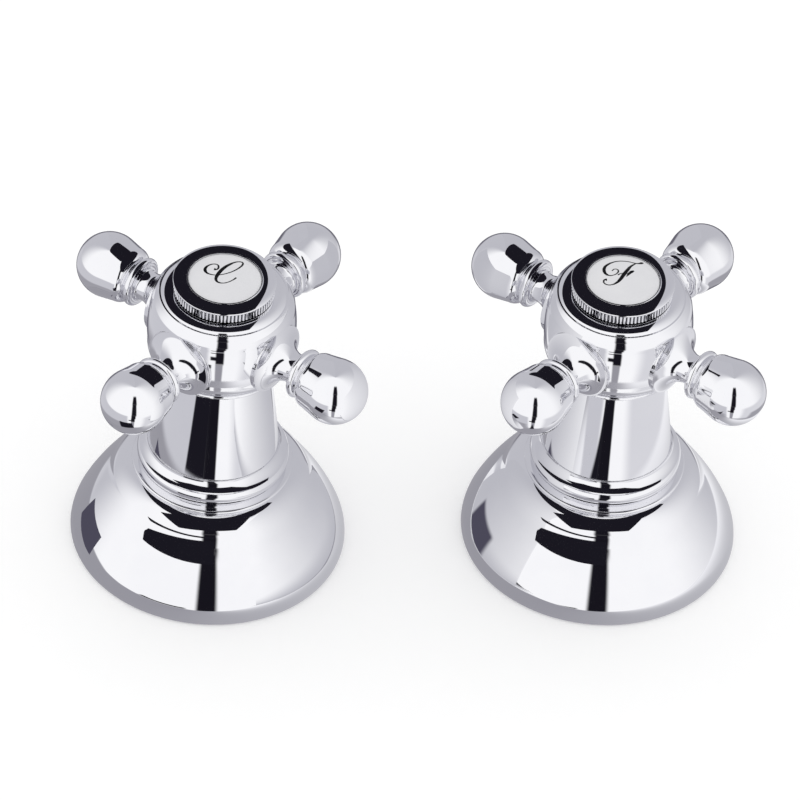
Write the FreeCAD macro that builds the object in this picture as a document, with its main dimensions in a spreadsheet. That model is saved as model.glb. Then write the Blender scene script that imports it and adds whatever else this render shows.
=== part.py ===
"""Pair of deck valves for a bidet: bell flange, cone sleeve and four-arm cross handle on each.

Frame: millimetres, +Z up, origin on the deck midway between the two valve axes, the hot valve
on -X and the cold one on +X, the user on -Y. Every outline is drawn as (distance from the
valve's axis, height above the piece's own foot) and turned about that axis.
"""

import FreeCAD
import Part
import Sketcher
import math
import os
from types import SimpleNamespace

# Driving dimensions in millimetres and degrees. Each one is a cell of the sheet.
SIZES = {
    # The pair, and the gaps that every fit is made with
    "tap_spacing": 83.7,
    "handle_angle": 49.4,
    "seat_gap": 0.05,
    "running_gap": 0.06,
    "moving_gap": 0.3,
    # Bell flange
    "bell_radius": 29.3,
    "bell_wall": 1.5,
    "bell_rim_lift": 0.3,
    "bell_ledge": 2.2,
    "bell_plate": 1.6,
    "bell_bead": 0.45,
    "crease_radius": 21.2,
    "crease_rise": 17.15,
    # Rubber ring under the bell
    "gasket_height": 1.6,
    "gasket_width": 1.9,
    # Brass valve body inside the bell
    "body_clearance": 3.1,
    "body_foot_rise": 7.0,
    "body_waist_rise": 14.4,
    "body_shoulder_radius": 15.2,
    "shoulder_clearance": 0.25,
    "body_shoulder_rise": 20.5,
    "body_neck_radius": 13.0,
    "body_neck_length": 7.1,
    "chamber_floor": 9.5,
    "chamber_radius": 11.5,
    "chamber_foot": 11.3,
    "chamber_rise": 18.6,
    "port_radius": 4.46,
    "port_depth": 7.5,
    "inlet_throat_radius": 3.6,
    "outlet_way_radius": 3.0,
    "outlet_way_share": 0.5,
    "outlet_way_rise": 13.6,
    "stud_hole_radius": 3.32,
    "stud_hole_depth": 9.0,
    "stud_share": 0.613,
    # Collar ring that holds the bell down
    "collar_height": 5.9,
    "collar_radius": 16.15,
    "collar_crown_radius": 13.95,
    # Cone sleeve
    "cone_foot_radius": 13.8,
    "cone_top_radius": 10.42,
    "cone_wall": 1.4,
    "sleeve_clearance": 0.66,
    "cone_rib_share": 0.438,
    "cone_rib_height": 4.0,
    # Quarter-turn cartridge
    "cage_radius": 9.3,
    "cage_bore": 7.5,
    "cage_lift": 0.3,
    "cage_shoulder": 19.1,
    "cage_window_width": 8.0,
    "cage_window_height": 4.0,
    "thread_radius": 10.4,
    "thrust_shoulder": 20.0,
    "hex_flats": 19.0,
    "hex_flange": 0.6,
    "hex_height": 5.0,
    "cartridge_neck_radius": 8.0,
    "cartridge_neck_share": 0.467,
    "housing_ring_section": 0.6,
    "seal_radius": 7.3,
    "seal_hole_radius": 4.0,
    "seal_height": 2.0,
    "disc_radius": 7.4,
    "disc_height": 3.0,
    "disc_gap": 0.05,
    "disc_window_inner": 2.6,
    "disc_window_outer": 6.2,
    "disc_window_half": 35.0,
    "rotor_notch_half": 42.0,
    "drive_slot_width": 3.0,
    "drive_slot_depth": 1.2,
    "thrust_washer_radius": 7.2,
    "thrust_washer_height": 0.45,
    # Spindle
    "spindle_radius": 4.0,
    "spindle_flange_radius": 6.9,
    "spindle_flange_height": 1.7,
    "ring_groove_depth": 1.1,
    "ring_groove_width": 1.4,
    "ring_section": 0.53,
    "ring_first_rise": 5.0,
    "ring_pitch": 5.0,
    "snap_groove_depth": 0.7,
    "snap_ring_height": 0.8,
    "snap_ring_radius": 6.0,
    "snap_ring_gap_width": 3.0,
    "spline_length": 9.9,
    "spline_depth": 0.35,
    "spline_teeth": 20,
    # Hub of the cross handle
    "hub_overlap": 1.25,
    "hub_height": 19.35,
    "hub_radius": 15.7,
    "hub_lip_radius": 13.45,
    "hub_shoulder_radius": 13.6,
    "hub_crown_radius": 11.3,
    "hub_skirt_bore": 11.0,
    "hub_skirt_depth": 2.25,
    "hub_web_rise": 13.5,
    "hub_screw_land": 1.3,
    "cap_thread_radius": 8.3,
    "arm_height": 59.3,
    "arm_rise_share": 0.4315,
    "arm_seat_reach": 14.2,
    "arm_boss_radius": 7.8,
    "arm_stud_radius": 2.5,
    "arm_stud_length": 6.5,
    # Turned arms
    "flare_radius": 7.74,
    "flare_rim": 0.45,
    "arm_neck_radius": 3.3,
    "arm_neck_reach": 18.8,
    "arm_ring_radius": 5.5,
    "arm_ring_reach": 21.65,
    "arm_ring_width": 1.7,
    "knob_radius": 7.08,
    "knob_reach": 29.8,
    "knob_tail_angle": 76.2,
    "knob_nose_angle": 50.0,
    # Screw that holds the handle, and its washer
    "screw_radius": 2.0,
    "screw_length": 8.4,
    "screw_head_radius": 3.6,
    "screw_head_height": 2.2,
    "screw_hex_flats": 2.5,
    "screw_hex_depth": 1.3,
    "screw_washer_radius": 4.4,
    "screw_washer_height": 0.6,
    # Knurled index cap and its disc
    "cap_radius": 10.7,
    "cap_lip_radius": 10.92,
    "cap_lift": 0.2,
    "knurl_height": 2.0,
    "knurl_depth": 0.3,
    "knurl_teeth": 84,
    "cap_face_height": 0.95,
    "cap_skirt_radius": 8.2,
    "cap_skirt_length": 2.6,
    "cap_skirt_wall": 1.3,
    "cap_ring_section": 0.36,
    "disc_seat_radius": 7.7,
    "disc_seat_depth": 1.45,
    "index_disc_height": 1.15,
    "index_disc_crown": 0.35,
}

# Overrun of every cut past the material that it removes, as a share of the hub's height.
OVERRUN_SHARE = 0.1

FULL_TURN_ANGLE = 360
HEXAGON_COUNT = 6
RING_FLAT_COUNT = 8

# Shares of the bell's outline: of its radius and rise at the rim, then (of the flare, of the
# rise) up the skirt, and last (from crease to neck, from crease to bead) over the dome.
RIM_FOOT_SHARE = 0.989
RIM_SIDE_SHARES = (0.9965, 0.05)
RIM_TOP_SHARE = 0.1
ROLL_SHARES = ((0.978, 0.179), (0.926, 0.262))
SKIRT_SHARES = ((0.538, 0.628), (0.027, 0.965))
CREASE_SHARES = (0.009, 0.981)
DOME_SHARES = (0.413, 0.628)
DOME_WALL_SHARES = (0.7, 0.75)
SHOULDER_WALL_SHARE = 0.8
SKIRT_WALL_SHARE = 0.41

SIDES = (("hot", -1), ("cold", 1))
ARM_NAMES = ("right_back_arm", "left_back_arm", "left_front_arm", "right_front_arm")


class Size:
    """A number together with the sheet expression that gives it."""

    def __init__(self, value, text):
        self.value = value
        self.text = text

    def __add__(self, other):
        other = as_size(other)
        return Size(self.value + other.value, f"({self.text} + {other.text})")

    def __sub__(self, other):
        other = as_size(other)
        return Size(self.value - other.value, f"({self.text} - {other.text})")

    def __mul__(self, other):
        other = as_size(other)
        return Size(self.value * other.value, f"({self.text} * {other.text})")

    def __truediv__(self, other):
        other = as_size(other)
        return Size(self.value / other.value, f"({self.text} / {other.text})")

    def __neg__(self):
        return Size(-self.value, f"(0 - {self.text})")


def as_size(number):
    """A plain number as a size, and a size as it is."""
    if isinstance(number, Size):
        return number
    return Size(float(number), repr(float(number)))


def cosine(angle):
    """Cosine of an angle in degrees."""
    return Size(math.cos(math.radians(angle.value)), f"cos({angle.text} * 1 deg)")


def sine(angle):
    """Sine of an angle in degrees."""
    return Size(math.sin(math.radians(angle.value)), f"sin({angle.text} * 1 deg)")


def root(number):
    """Square root."""
    return Size(math.sqrt(number.value), f"sqrt({number.text})")


def between(first, last, share):
    """The size that lies this share of the way from the first to the last."""
    return first + (last - first) * share


class Outline:
    """A closed outline of straight runs and of arcs through a middle point."""

    def __init__(self, across, up):
        self.start = (as_size(across), as_size(up))
        self.runs = []

    def line(self, across, up):
        self.runs.append((None, (as_size(across), as_size(up))))
        return self

    def arc(self, middle_across, middle_up, across, up):
        middle = (as_size(middle_across), as_size(middle_up))
        self.runs.append((middle, (as_size(across), as_size(up))))
        return self

    def edges(self):
        """Start, middle or none, and end of each run, the closing one too."""
        found = []
        here = self.start
        for middle, there in self.runs:
            found.append((here, middle, there))
            here = there
        if [size.text for size in here] != [size.text for size in self.start]:
            found.append((here, None, self.start))
        return found


def point(pair):
    """A vector from two sizes."""
    return FreeCAD.Vector(pair[0].value, pair[1].value, 0)


def make_sheet(doc):
    """The sheet of driving dimensions, and the same sizes by name for the model."""
    sheet = doc.addObject("Spreadsheet::Sheet", "sizes")
    for row, (name, number) in enumerate(SIZES.items(), start=1):
        sheet.set(f"A{row}", name)
        sheet.set(f"B{row}", str(number))
        sheet.setAlias(f"B{row}", name)
    doc.recompute()
    return SimpleNamespace(**{name: Size(float(number), f"sizes.{name}")
                              for name, number in SIZES.items()})


def origin_part(body, role):
    """One of a body's own planes or axes."""
    for feature in body.Origin.OriginFeatures:
        if feature.Role == role:
            return feature
    raise LookupError(role)


def tie(sketch, geometry, position, pair):
    """Hold a point of the sketch at two sizes from its origin."""
    for axis, kind, size in ((-2, "DistanceX", pair[0]), (-1, "DistanceY", pair[1])):
        if size.value == 0 and size.text == "0.0":
            sketch.addConstraint(Sketcher.Constraint("PointOnObject", geometry, position, axis))
            continue
        index = sketch.addConstraint(
            Sketcher.Constraint(kind, -1, 1, geometry, position, size.value))
        sketch.setExpression(f"Constraints[{index}]", size.text)


def draw(sketch, outline):
    """Draw one closed outline and tie each of its points to the sheet."""
    drawn = []
    for start, middle, end in outline.edges():
        a, b = point(start), point(end)
        if middle is None:
            index = sketch.addGeometry(Part.LineSegment(a, b), False)
            drawn.append((index, 1, 2, end))
            continue
        m = point(middle)
        left_turn = (m - a).cross(b - m).z > 0
        curve = Part.Arc(a, m, b) if left_turn else Part.Arc(b, m, a)
        index = sketch.addGeometry(curve, False)
        mark = sketch.addGeometry(Part.Point(m), True)
        tie(sketch, mark, 1, middle)
        sketch.addConstraint(Sketcher.Constraint("PointOnObject", mark, 1, index))
        drawn.append((index, 1, 2, end) if left_turn else (index, 2, 1, end))
    for here, after in zip(drawn, drawn[1:] + drawn[:1]):
        sketch.addConstraint(Sketcher.Constraint("Coincident", here[0], here[2], after[0], after[1]))
        tie(sketch, here[0], here[2], here[3])


def draw_circle(sketch, radius, across=None, up=None):
    """Draw a circle at two sizes from the sketch's origin."""
    centre = (as_size(0) if across is None else across, as_size(0) if up is None else up)
    index = sketch.addGeometry(
        Part.Circle(point(centre), FreeCAD.Vector(0, 0, 1), radius.value), False)
    if across is None and up is None:
        sketch.addConstraint(Sketcher.Constraint("Coincident", index, 3, -1, 1))
    else:
        tie(sketch, index, 3, centre)
    size = sketch.addConstraint(Sketcher.Constraint("Radius", index, radius.value))
    sketch.setExpression(f"Constraints[{size}]", radius.text)


class Piece:
    """One sub-part: a body placed on its valve's axis, and the features that shape it."""

    def __init__(self, doc, tap, name, foot=None, turn=None):
        self.doc = doc
        self.body = doc.addObject("PartDesign::Body", f"{tap.side}_{name}")
        self.body.Label = f"{tap.side}_{name}"
        rotation = FreeCAD.Rotation(FreeCAD.Vector(0, 0, 1), 0)
        if turn is not None:
            rotation = FreeCAD.Rotation(FreeCAD.Vector(0, 0, 1), turn.value)
        self.body.Placement = FreeCAD.Placement(FreeCAD.Vector(0, 0, 0), rotation)
        if turn is not None:
            self.body.setExpression("Placement.Rotation.Angle", f"{turn.text} * 1 deg")
        self.body.setExpression("Placement.Base.x", tap.across.text)
        if foot is not None:
            self.body.setExpression("Placement.Base.z", foot.text)

    def sketch(self, plane, name, lift=None):
        """An empty sketch on one of the body's own planes, or lifted off it."""
        sketch = self.body.newObject("Sketcher::SketchObject", f"{self.body.Label}_{name}")
        sketch.AttachmentSupport = (origin_part(self.body, plane), [""])
        sketch.MapMode = "FlatFace"
        if lift is not None:
            sketch.setExpression("AttachmentOffset.Base.z", lift.text)
        return sketch

    def finish(self, feature, profile):
        """Set a feature's profile and make it the tip."""
        feature.Profile = profile
        self.body.Tip = feature
        return feature

    def turned(self, outlines, name="turned", cut=False, about="V_Axis", plane="XZ_Plane"):
        """Turn outlines about the piece's axis, as a solid or as a cut."""
        sketch = self.sketch(plane, name)
        for outline in outlines:
            draw(sketch, outline)
        kind = "PartDesign::Groove" if cut else "PartDesign::Revolution"
        feature = self.body.newObject(kind, f"{self.body.Label}_{name}_turn")
        self.finish(feature, sketch)
        feature.ReferenceAxis = (sketch, [about])
        feature.Angle = FULL_TURN_ANGLE
        return feature

    def padded(self, fill, length, name, plane="XY_Plane", lift=None, reverse=False):
        """Raise a drawn shape by a length."""
        sketch = self.sketch(plane, name, lift)
        fill(sketch)
        feature = self.body.newObject("PartDesign::Pad", f"{self.body.Label}_{name}_pad")
        self.finish(feature, sketch)
        feature.setExpression("Length", length.text)
        feature.Reversed = reverse
        return feature

    def pocket(self, fill, depth, name, plane="XY_Plane", lift=None, reverse=False):
        """Cut a drawn shape by a depth, and make sure that it took material away."""
        self.doc.recompute()
        before = self.body.Shape.Volume
        sketch = self.sketch(plane, name, lift)
        fill(sketch)
        feature = self.body.newObject("PartDesign::Pocket", f"{self.body.Label}_{name}_cut")
        self.finish(feature, sketch)
        feature.setExpression("Length", depth.text)
        feature.Reversed = reverse
        self.doc.recompute()
        if not self.body.Shape.Volume < before:
            raise ValueError(f"{feature.Label} cut nothing")
        return feature

    def around(self, features, count, name):
        """Repeat features around the piece's axis."""
        pattern = self.body.newObject("PartDesign::PolarPattern", f"{self.body.Label}_{name}")
        pattern.Originals = features
        pattern.Axis = (origin_part(self.body, "Z_Axis"), [""])
        pattern.Angle = FULL_TURN_ANGLE
        pattern.setExpression("Occurrences", count.text)
        self.body.Tip = pattern
        return pattern


def ring_outline(inner, outer, low, high):
    """Rectangular section of a ring."""
    return Outline(inner, low).line(outer, low).line(outer, high).line(inner, high)


def polygon(reach, count, across=None, up=None):
    """Even polygon with its corners at a reach from its middle."""
    across = as_size(0) if across is None else across
    up = as_size(0) if up is None else up
    corners = []
    for corner in range(count):
        angle = as_size(FULL_TURN_ANGLE) / count * corner
        corners.append((across + reach * cosine(angle), up + reach * sine(angle)))
    outline = Outline(*corners[0])
    for corner in corners[1:]:
        outline.line(*corner)
    return outline


def ring_section(radius, section, height):
    """Section of a squeezed rubber ring, with flats that lie within its round."""
    return polygon(section, RING_FLAT_COUNT, radius, height)


def heights(s):
    """Heights above the deck at which the pieces of one valve stack."""
    h = SimpleNamespace()
    h.bell_top = s.body_shoulder_rise + s.bell_plate
    h.collar_top = h.bell_top + s.collar_height
    h.body_top = s.body_shoulder_rise + s.body_neck_length
    h.hex = h.body_top + s.hex_flange
    h.hex_top = h.hex + s.hex_height
    h.hub = s.arm_height - s.hub_height * s.arm_rise_share
    h.cone_top = h.hub + s.hub_overlap
    h.cone_height = h.cone_top - h.collar_top
    h.cartridge_top = h.hex_top + h.cone_height * s.cartridge_neck_share
    h.fixed_disc = s.chamber_floor + s.seal_height
    h.rotor = h.fixed_disc + s.disc_height + s.disc_gap
    h.rotor_top = h.rotor + s.disc_height
    h.flange = h.rotor_top + s.disc_gap
    h.hub_top = h.hub + s.hub_height
    h.web_top = h.hub + s.hub_web_rise
    h.spindle_top = h.web_top - s.hub_screw_land - s.moving_gap
    h.cap = h.hub_top + s.cap_lift
    h.disc_seat = h.cap + s.knurl_height + s.cap_face_height - s.disc_seat_depth
    return h


def bell_flange(doc, tap, s, h):
    """Turned bell: rolled rim, flared skirt, soft crease, domed shoulder and a neck bead."""
    piece = Piece(doc, tap, "bell_flange")
    radius, crease, rise, wall = s.bell_radius, s.crease_radius, s.crease_rise, s.bell_wall
    inner_neck = s.body_shoulder_radius + s.shoulder_clearance
    neck = inner_neck + wall * SHOULDER_WALL_SHARE
    bead_low = h.bell_top - s.bell_bead * 2.4
    bore = s.body_neck_radius + s.seat_gap
    inner = radius - wall - s.bell_ledge
    seat = inner + s.gasket_width + s.seat_gap
    plate_low = s.body_shoulder_rise
    dome = (between(crease, neck, DOME_SHARES[0]), between(rise, bead_low, DOME_SHARES[1]))

    def flared(shares):
        return crease + (radius - crease) * shares[0], rise * shares[1]

    outline = (
        Outline(seat, s.bell_rim_lift)
        .line(radius * RIM_FOOT_SHARE, s.bell_rim_lift)
        .arc(radius * RIM_SIDE_SHARES[0], rise * RIM_SIDE_SHARES[1], radius, rise * RIM_TOP_SHARE)
        .arc(*flared(ROLL_SHARES[0]), *flared(ROLL_SHARES[1]))
        .arc(*flared(SKIRT_SHARES[0]), *flared(SKIRT_SHARES[1]))
        .arc(*flared(CREASE_SHARES), crease, rise)
        .arc(*dome, neck, bead_low)
        .arc(neck + s.bell_bead, bead_low + s.bell_bead, neck, bead_low + s.bell_bead * 2)
        .line(neck - s.bell_bead * 2, h.bell_top)
        .line(bore, h.bell_top)
        .line(bore, plate_low)
        .line(inner_neck, plate_low)
        .arc(dome[0] - wall * DOME_WALL_SHARES[0], dome[1] - wall * DOME_WALL_SHARES[1],
             crease - wall, rise - wall * SHOULDER_WALL_SHARE)
        .line(inner, rise * SKIRT_WALL_SHARE)
        .line(inner, s.gasket_height)
        .line(seat, s.gasket_height)
    )
    piece.turned([outline])


def base_gasket(doc, tap, s, h):
    """Flat rubber ring between the bell and the deck."""
    piece = Piece(doc, tap, "base_gasket")
    inner = s.bell_radius - s.bell_wall - s.bell_ledge
    piece.turned([ring_outline(inner, inner + s.gasket_width, as_size(0), s.gasket_height)])


def valve_body(doc, tap, s, h):
    """Brass body: stepped outside, cartridge bore with a ring chamber, three holes below."""
    piece = Piece(doc, tap, "valve_body")
    bore = s.thread_radius + s.seat_gap
    pilot = s.cage_radius + s.seat_gap
    ring_seat = s.thread_radius + s.seat_gap + s.housing_ring_section * 2 + s.seat_gap
    ring_floor = h.body_top - s.housing_ring_section * 2
    foot = s.bell_radius - s.bell_wall - s.bell_ledge - s.body_clearance
    waist = s.crease_radius - s.bell_wall - s.moving_gap
    outlet = s.chamber_radius + s.outlet_way_radius * s.outlet_way_share
    stud = foot * s.stud_share
    outline = (
        Outline(s.inlet_throat_radius, as_size(0))
        .line(foot, as_size(0))
        .line(foot, s.body_foot_rise)
        .line(waist, s.body_foot_rise * 1.4)
        .line(waist, s.body_waist_rise)
        .line(s.body_shoulder_radius, s.body_waist_rise * 1.2)
        .line(s.body_shoulder_radius, s.body_shoulder_rise)
        .line(s.body_neck_radius, s.body_shoulder_rise)
        .line(s.body_neck_radius, h.body_top)
        .line(ring_seat, h.body_top)
        .line(ring_seat, ring_floor)
        .line(bore, ring_floor)
        .line(bore, s.chamber_rise)
        .line(s.chamber_radius, s.chamber_rise)
        .line(s.chamber_radius, s.chamber_foot)
        .line(pilot, s.chamber_foot)
        .line(pilot, s.chamber_floor)
        .line(s.inlet_throat_radius, s.chamber_floor)
    )
    piece.turned([outline])
    piece.pocket(lambda sketch: draw_circle(sketch, s.port_radius), s.port_depth, "inlet",
                 reverse=True)
    piece.pocket(lambda sketch: draw_circle(sketch, s.port_radius, as_size(0), outlet),
                 s.port_depth, "outlet", reverse=True)
    piece.pocket(
        lambda sketch: draw_circle(sketch, s.outlet_way_radius, as_size(0), outlet),
        s.outlet_way_rise, "outlet_way", reverse=True)
    piece.pocket(lambda sketch: draw_circle(sketch, s.stud_hole_radius, as_size(0), -stud),
                 s.stud_hole_depth, "stud_hole", reverse=True)


def collar_ring(doc, tap, s, h):
    """Screwed collar: undercut foot, rounded belt and a hollow sweep up to the cone."""
    piece = Piece(doc, tap, "collar_ring", h.bell_top)
    top = s.collar_height
    bore = s.body_neck_radius + s.seat_gap
    outline = (
        Outline(bore, as_size(0))
        .line(s.collar_radius * 0.94, as_size(0))
        .line(s.collar_radius * 0.987, top * 0.17)
        .arc(s.collar_radius, top * 0.38, s.collar_radius * 0.972, top * 0.6)
        .arc(s.collar_radius * 0.897, top * 0.75, s.collar_crown_radius, top)
        .line(bore, top)
    )
    piece.turned([outline])


def cone_sleeve(doc, tap, s, h):
    """Tapered sleeve, hollow, with the inner rib that screws on the cartridge neck."""
    piece = Piece(doc, tap, "cone_sleeve", h.collar_top)
    wall = s.cone_wall
    low = h.cone_height * s.cone_rib_share
    high = low + s.cone_rib_height
    rib = s.cartridge_neck_radius + s.seat_gap

    def inner(rise):
        return between(s.cone_foot_radius, s.cone_top_radius, rise / h.cone_height) - wall

    outline = (
        Outline(s.cone_foot_radius - wall, as_size(0))
        .line(s.cone_foot_radius, as_size(0))
        .line(s.cone_top_radius, h.cone_height)
        .line(s.cone_top_radius - wall, h.cone_height)
        .line(inner(high), high)
        .line(rib, high)
        .line(rib, low)
        .line(inner(low), low)
    )
    piece.turned([outline])


def cartridge_housing(doc, tap, s, h):
    """Brass cartridge housing: windowed cage, screwed shank, hexagon and long neck."""
    foot = s.chamber_floor + s.cage_lift
    piece = Piece(doc, tap, "cartridge_housing", foot, s.handle_angle)
    bore = s.spindle_radius + s.running_gap
    flange = s.cone_foot_radius - s.cone_wall - s.sleeve_clearance
    outline = (
        Outline(s.cage_bore, as_size(0))
        .line(s.cage_radius, as_size(0))
        .line(s.cage_radius, s.cage_shoulder - foot)
        .line(s.thread_radius, s.cage_shoulder - foot)
        .line(s.thread_radius, h.body_top - foot)
        .line(flange, h.body_top - foot)
        .line(flange, h.hex - foot)
        .line(s.cartridge_neck_radius, h.hex - foot)
        .line(s.cartridge_neck_radius, h.cartridge_top - foot)
        .line(bore, h.cartridge_top - foot)
        .line(bore, s.thrust_shoulder - foot)
        .line(s.cage_bore, s.thrust_shoulder - foot)
    )
    piece.turned([outline])

    def hexagon(sketch):
        reach = s.hex_flats / math.sqrt(3)
        draw(sketch, polygon(reach, HEXAGON_COUNT))
        draw_circle(sketch, between(s.spindle_radius, s.cartridge_neck_radius, 0.5))

    piece.padded(hexagon, s.hex_height, "hexagon", lift=h.hex - foot)

    def window(sketch):
        half = s.cage_window_width / 2
        low = h.rotor - foot
        draw(sketch, Outline(-half, low).line(half, low)
             .line(half, low + s.cage_window_height).line(-half, low + s.cage_window_height))

    cut = piece.pocket(window, s.cage_radius + s.hub_height * OVERRUN_SHARE, "window",
                       plane="YZ_Plane", reverse=True)
    piece.around([cut], as_size(2), "windows")


def housing_oring(doc, tap, s, h):
    """Rubber ring under the cartridge's flange."""
    piece = Piece(doc, tap, "housing_oring")
    radius = s.thread_radius + s.seat_gap + s.housing_ring_section
    piece.turned([ring_section(radius, s.housing_ring_section,
                                h.body_top - s.housing_ring_section)])


def seat_seal(doc, tap, s, h):
    """Rubber lip seal between the body's floor and the fixed disc."""
    piece = Piece(doc, tap, "seat_seal", s.chamber_floor)
    piece.turned([ring_outline(s.seal_hole_radius, s.seal_radius, as_size(0), s.seal_height)])


def sector(sketch, inner, outer, half, middle):
    """A window between two radii, reaching half an angle to each side of its middle."""
    low, high = middle - half, middle + half
    draw(sketch, Outline(inner * cosine(low), inner * sine(low))
         .line(outer * cosine(low), outer * sine(low))
         .arc(outer * cosine(middle), outer * sine(middle), outer * cosine(high), outer * sine(high))
         .line(inner * cosine(high), inner * sine(high))
         .arc(inner * cosine(middle), inner * sine(middle), inner * cosine(low), inner * sine(low)))


def fixed_disc(doc, tap, s, h):
    """Ceramic disc that stays still, with two opposite windows."""
    piece = Piece(doc, tap, "fixed_disc", h.fixed_disc, s.handle_angle)
    piece.padded(lambda sketch: draw_circle(sketch, s.disc_radius), s.disc_height, "disc")
    cut = piece.pocket(
        lambda sketch: sector(sketch, s.disc_window_inner, s.disc_window_outer,
                              s.disc_window_half, as_size(0)),
        s.disc_height, "window", reverse=True)
    piece.around([cut], as_size(2), "windows")


def rotor_disc(doc, tap, s, h):
    """Ceramic butterfly disc that turns, with a slot for the spindle's dog on top."""
    piece = Piece(doc, tap, "rotor_disc", h.rotor, s.handle_angle)
    piece.padded(lambda sketch: draw_circle(sketch, s.disc_radius), s.disc_height, "disc")
    cut = piece.pocket(
        lambda sketch: sector(sketch, s.disc_window_inner, s.disc_radius * 1.1,
                              s.rotor_notch_half, as_size(FULL_TURN_ANGLE / 4)),
        s.disc_height, "notch", reverse=True)
    piece.around([cut], as_size(2), "notches")

    def slot(sketch):
        half, reach = s.drive_slot_width / 2, s.disc_radius * 1.1
        draw(sketch, Outline(-reach, -half).line(reach, -half).line(reach, half).line(-reach, half))

    piece.pocket(slot, s.drive_slot_depth, "slot", lift=s.disc_height)


def thrust_washer(doc, tap, s, h):
    """Slippery washer between the spindle's flange and the housing's shoulder."""
    piece = Piece(doc, tap, "thrust_washer", s.thrust_shoulder - s.thrust_washer_height)
    bore = s.spindle_radius + s.running_gap
    piece.turned([ring_outline(bore, s.thrust_washer_radius, as_size(0), s.thrust_washer_height)])


def notch(outer, depth, count):
    """Fill for a V notch at the front of a round piece, one of a count around it."""
    def fill(sketch):
        half = outer * math.pi / count * 0.8
        over = depth * 0.5
        draw(sketch, Outline(outer - depth, as_size(0))
             .line(outer + over, -half * 1.5)
             .line(outer + over, half * 1.5))
    return fill


def spindle(doc, tap, s, h):
    """Brass spindle: dog and flange below, two ring grooves, snap groove and splined top."""
    piece = Piece(doc, tap, "spindle", h.flange, s.handle_angle)
    groove = s.spindle_radius - s.ring_groove_depth
    snap = s.spindle_radius - s.snap_groove_depth
    snap_low = h.cartridge_top + s.moving_gap - h.flange
    snap_high = snap_low + s.snap_ring_height + s.seat_gap
    top = h.spindle_top - h.flange
    outline = (
        Outline(as_size(0), as_size(0))
        .line(s.spindle_flange_radius, as_size(0))
        .line(s.spindle_flange_radius, s.spindle_flange_height)
        .line(s.spindle_radius, s.spindle_flange_height)
    )
    for place in range(2):
        low = s.ring_first_rise + s.ring_pitch * place
        outline.line(s.spindle_radius, low).line(groove, low)
        outline.line(groove, low + s.ring_groove_width)
        outline.line(s.spindle_radius, low + s.ring_groove_width)
    outline.line(s.spindle_radius, snap_low).line(snap, snap_low)
    outline.line(snap, snap_high).line(s.spindle_radius, snap_high)
    outline.line(s.spindle_radius, top).line(as_size(0), top)
    piece.turned([outline])

    def dog(sketch):
        half = s.drive_slot_width / 2 - s.seat_gap
        reach = s.spindle_flange_radius * 0.9
        draw(sketch, Outline(-reach, -half).line(reach, -half).line(reach, half).line(-reach, half))

    piece.padded(dog, s.drive_slot_depth, "dog", reverse=True)
    piece.pocket(lambda sketch: draw_circle(sketch, s.screw_radius + s.seat_gap),
                 s.screw_length, "screw_hole", lift=top)
    cut = piece.pocket(notch(s.spindle_radius, s.spline_depth, s.spline_teeth),
                       s.spline_length, "spline", lift=top)
    piece.around([cut], s.spline_teeth, "splines")


def spindle_orings(doc, tap, s, h):
    """The two rubber rings in the spindle's grooves."""
    piece = Piece(doc, tap, "spindle_orings", h.flange)
    radius = s.spindle_radius - s.ring_groove_depth + s.ring_section + s.seat_gap * 0.4
    piece.turned([
        ring_section(radius, s.ring_section,
                      s.ring_first_rise + s.ring_pitch * place + s.ring_groove_width / 2)
        for place in range(2)])


def snap_ring(doc, tap, s, h):
    """Open spring ring that keeps the spindle from sliding down."""
    piece = Piece(doc, tap, "snap_ring", h.cartridge_top + s.moving_gap)
    inner = s.spindle_radius - s.snap_groove_depth + s.seat_gap
    piece.turned([ring_outline(inner, s.snap_ring_radius, as_size(0), s.snap_ring_height)])

    def mouth(sketch):
        half = s.snap_ring_gap_width / 2
        reach = s.snap_ring_radius * 1.2
        draw(sketch, Outline(as_size(0), -half).line(reach, -half).line(reach, half)
             .line(as_size(0), half))

    piece.pocket(mouth, s.snap_ring_height, "mouth", reverse=True)


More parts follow.
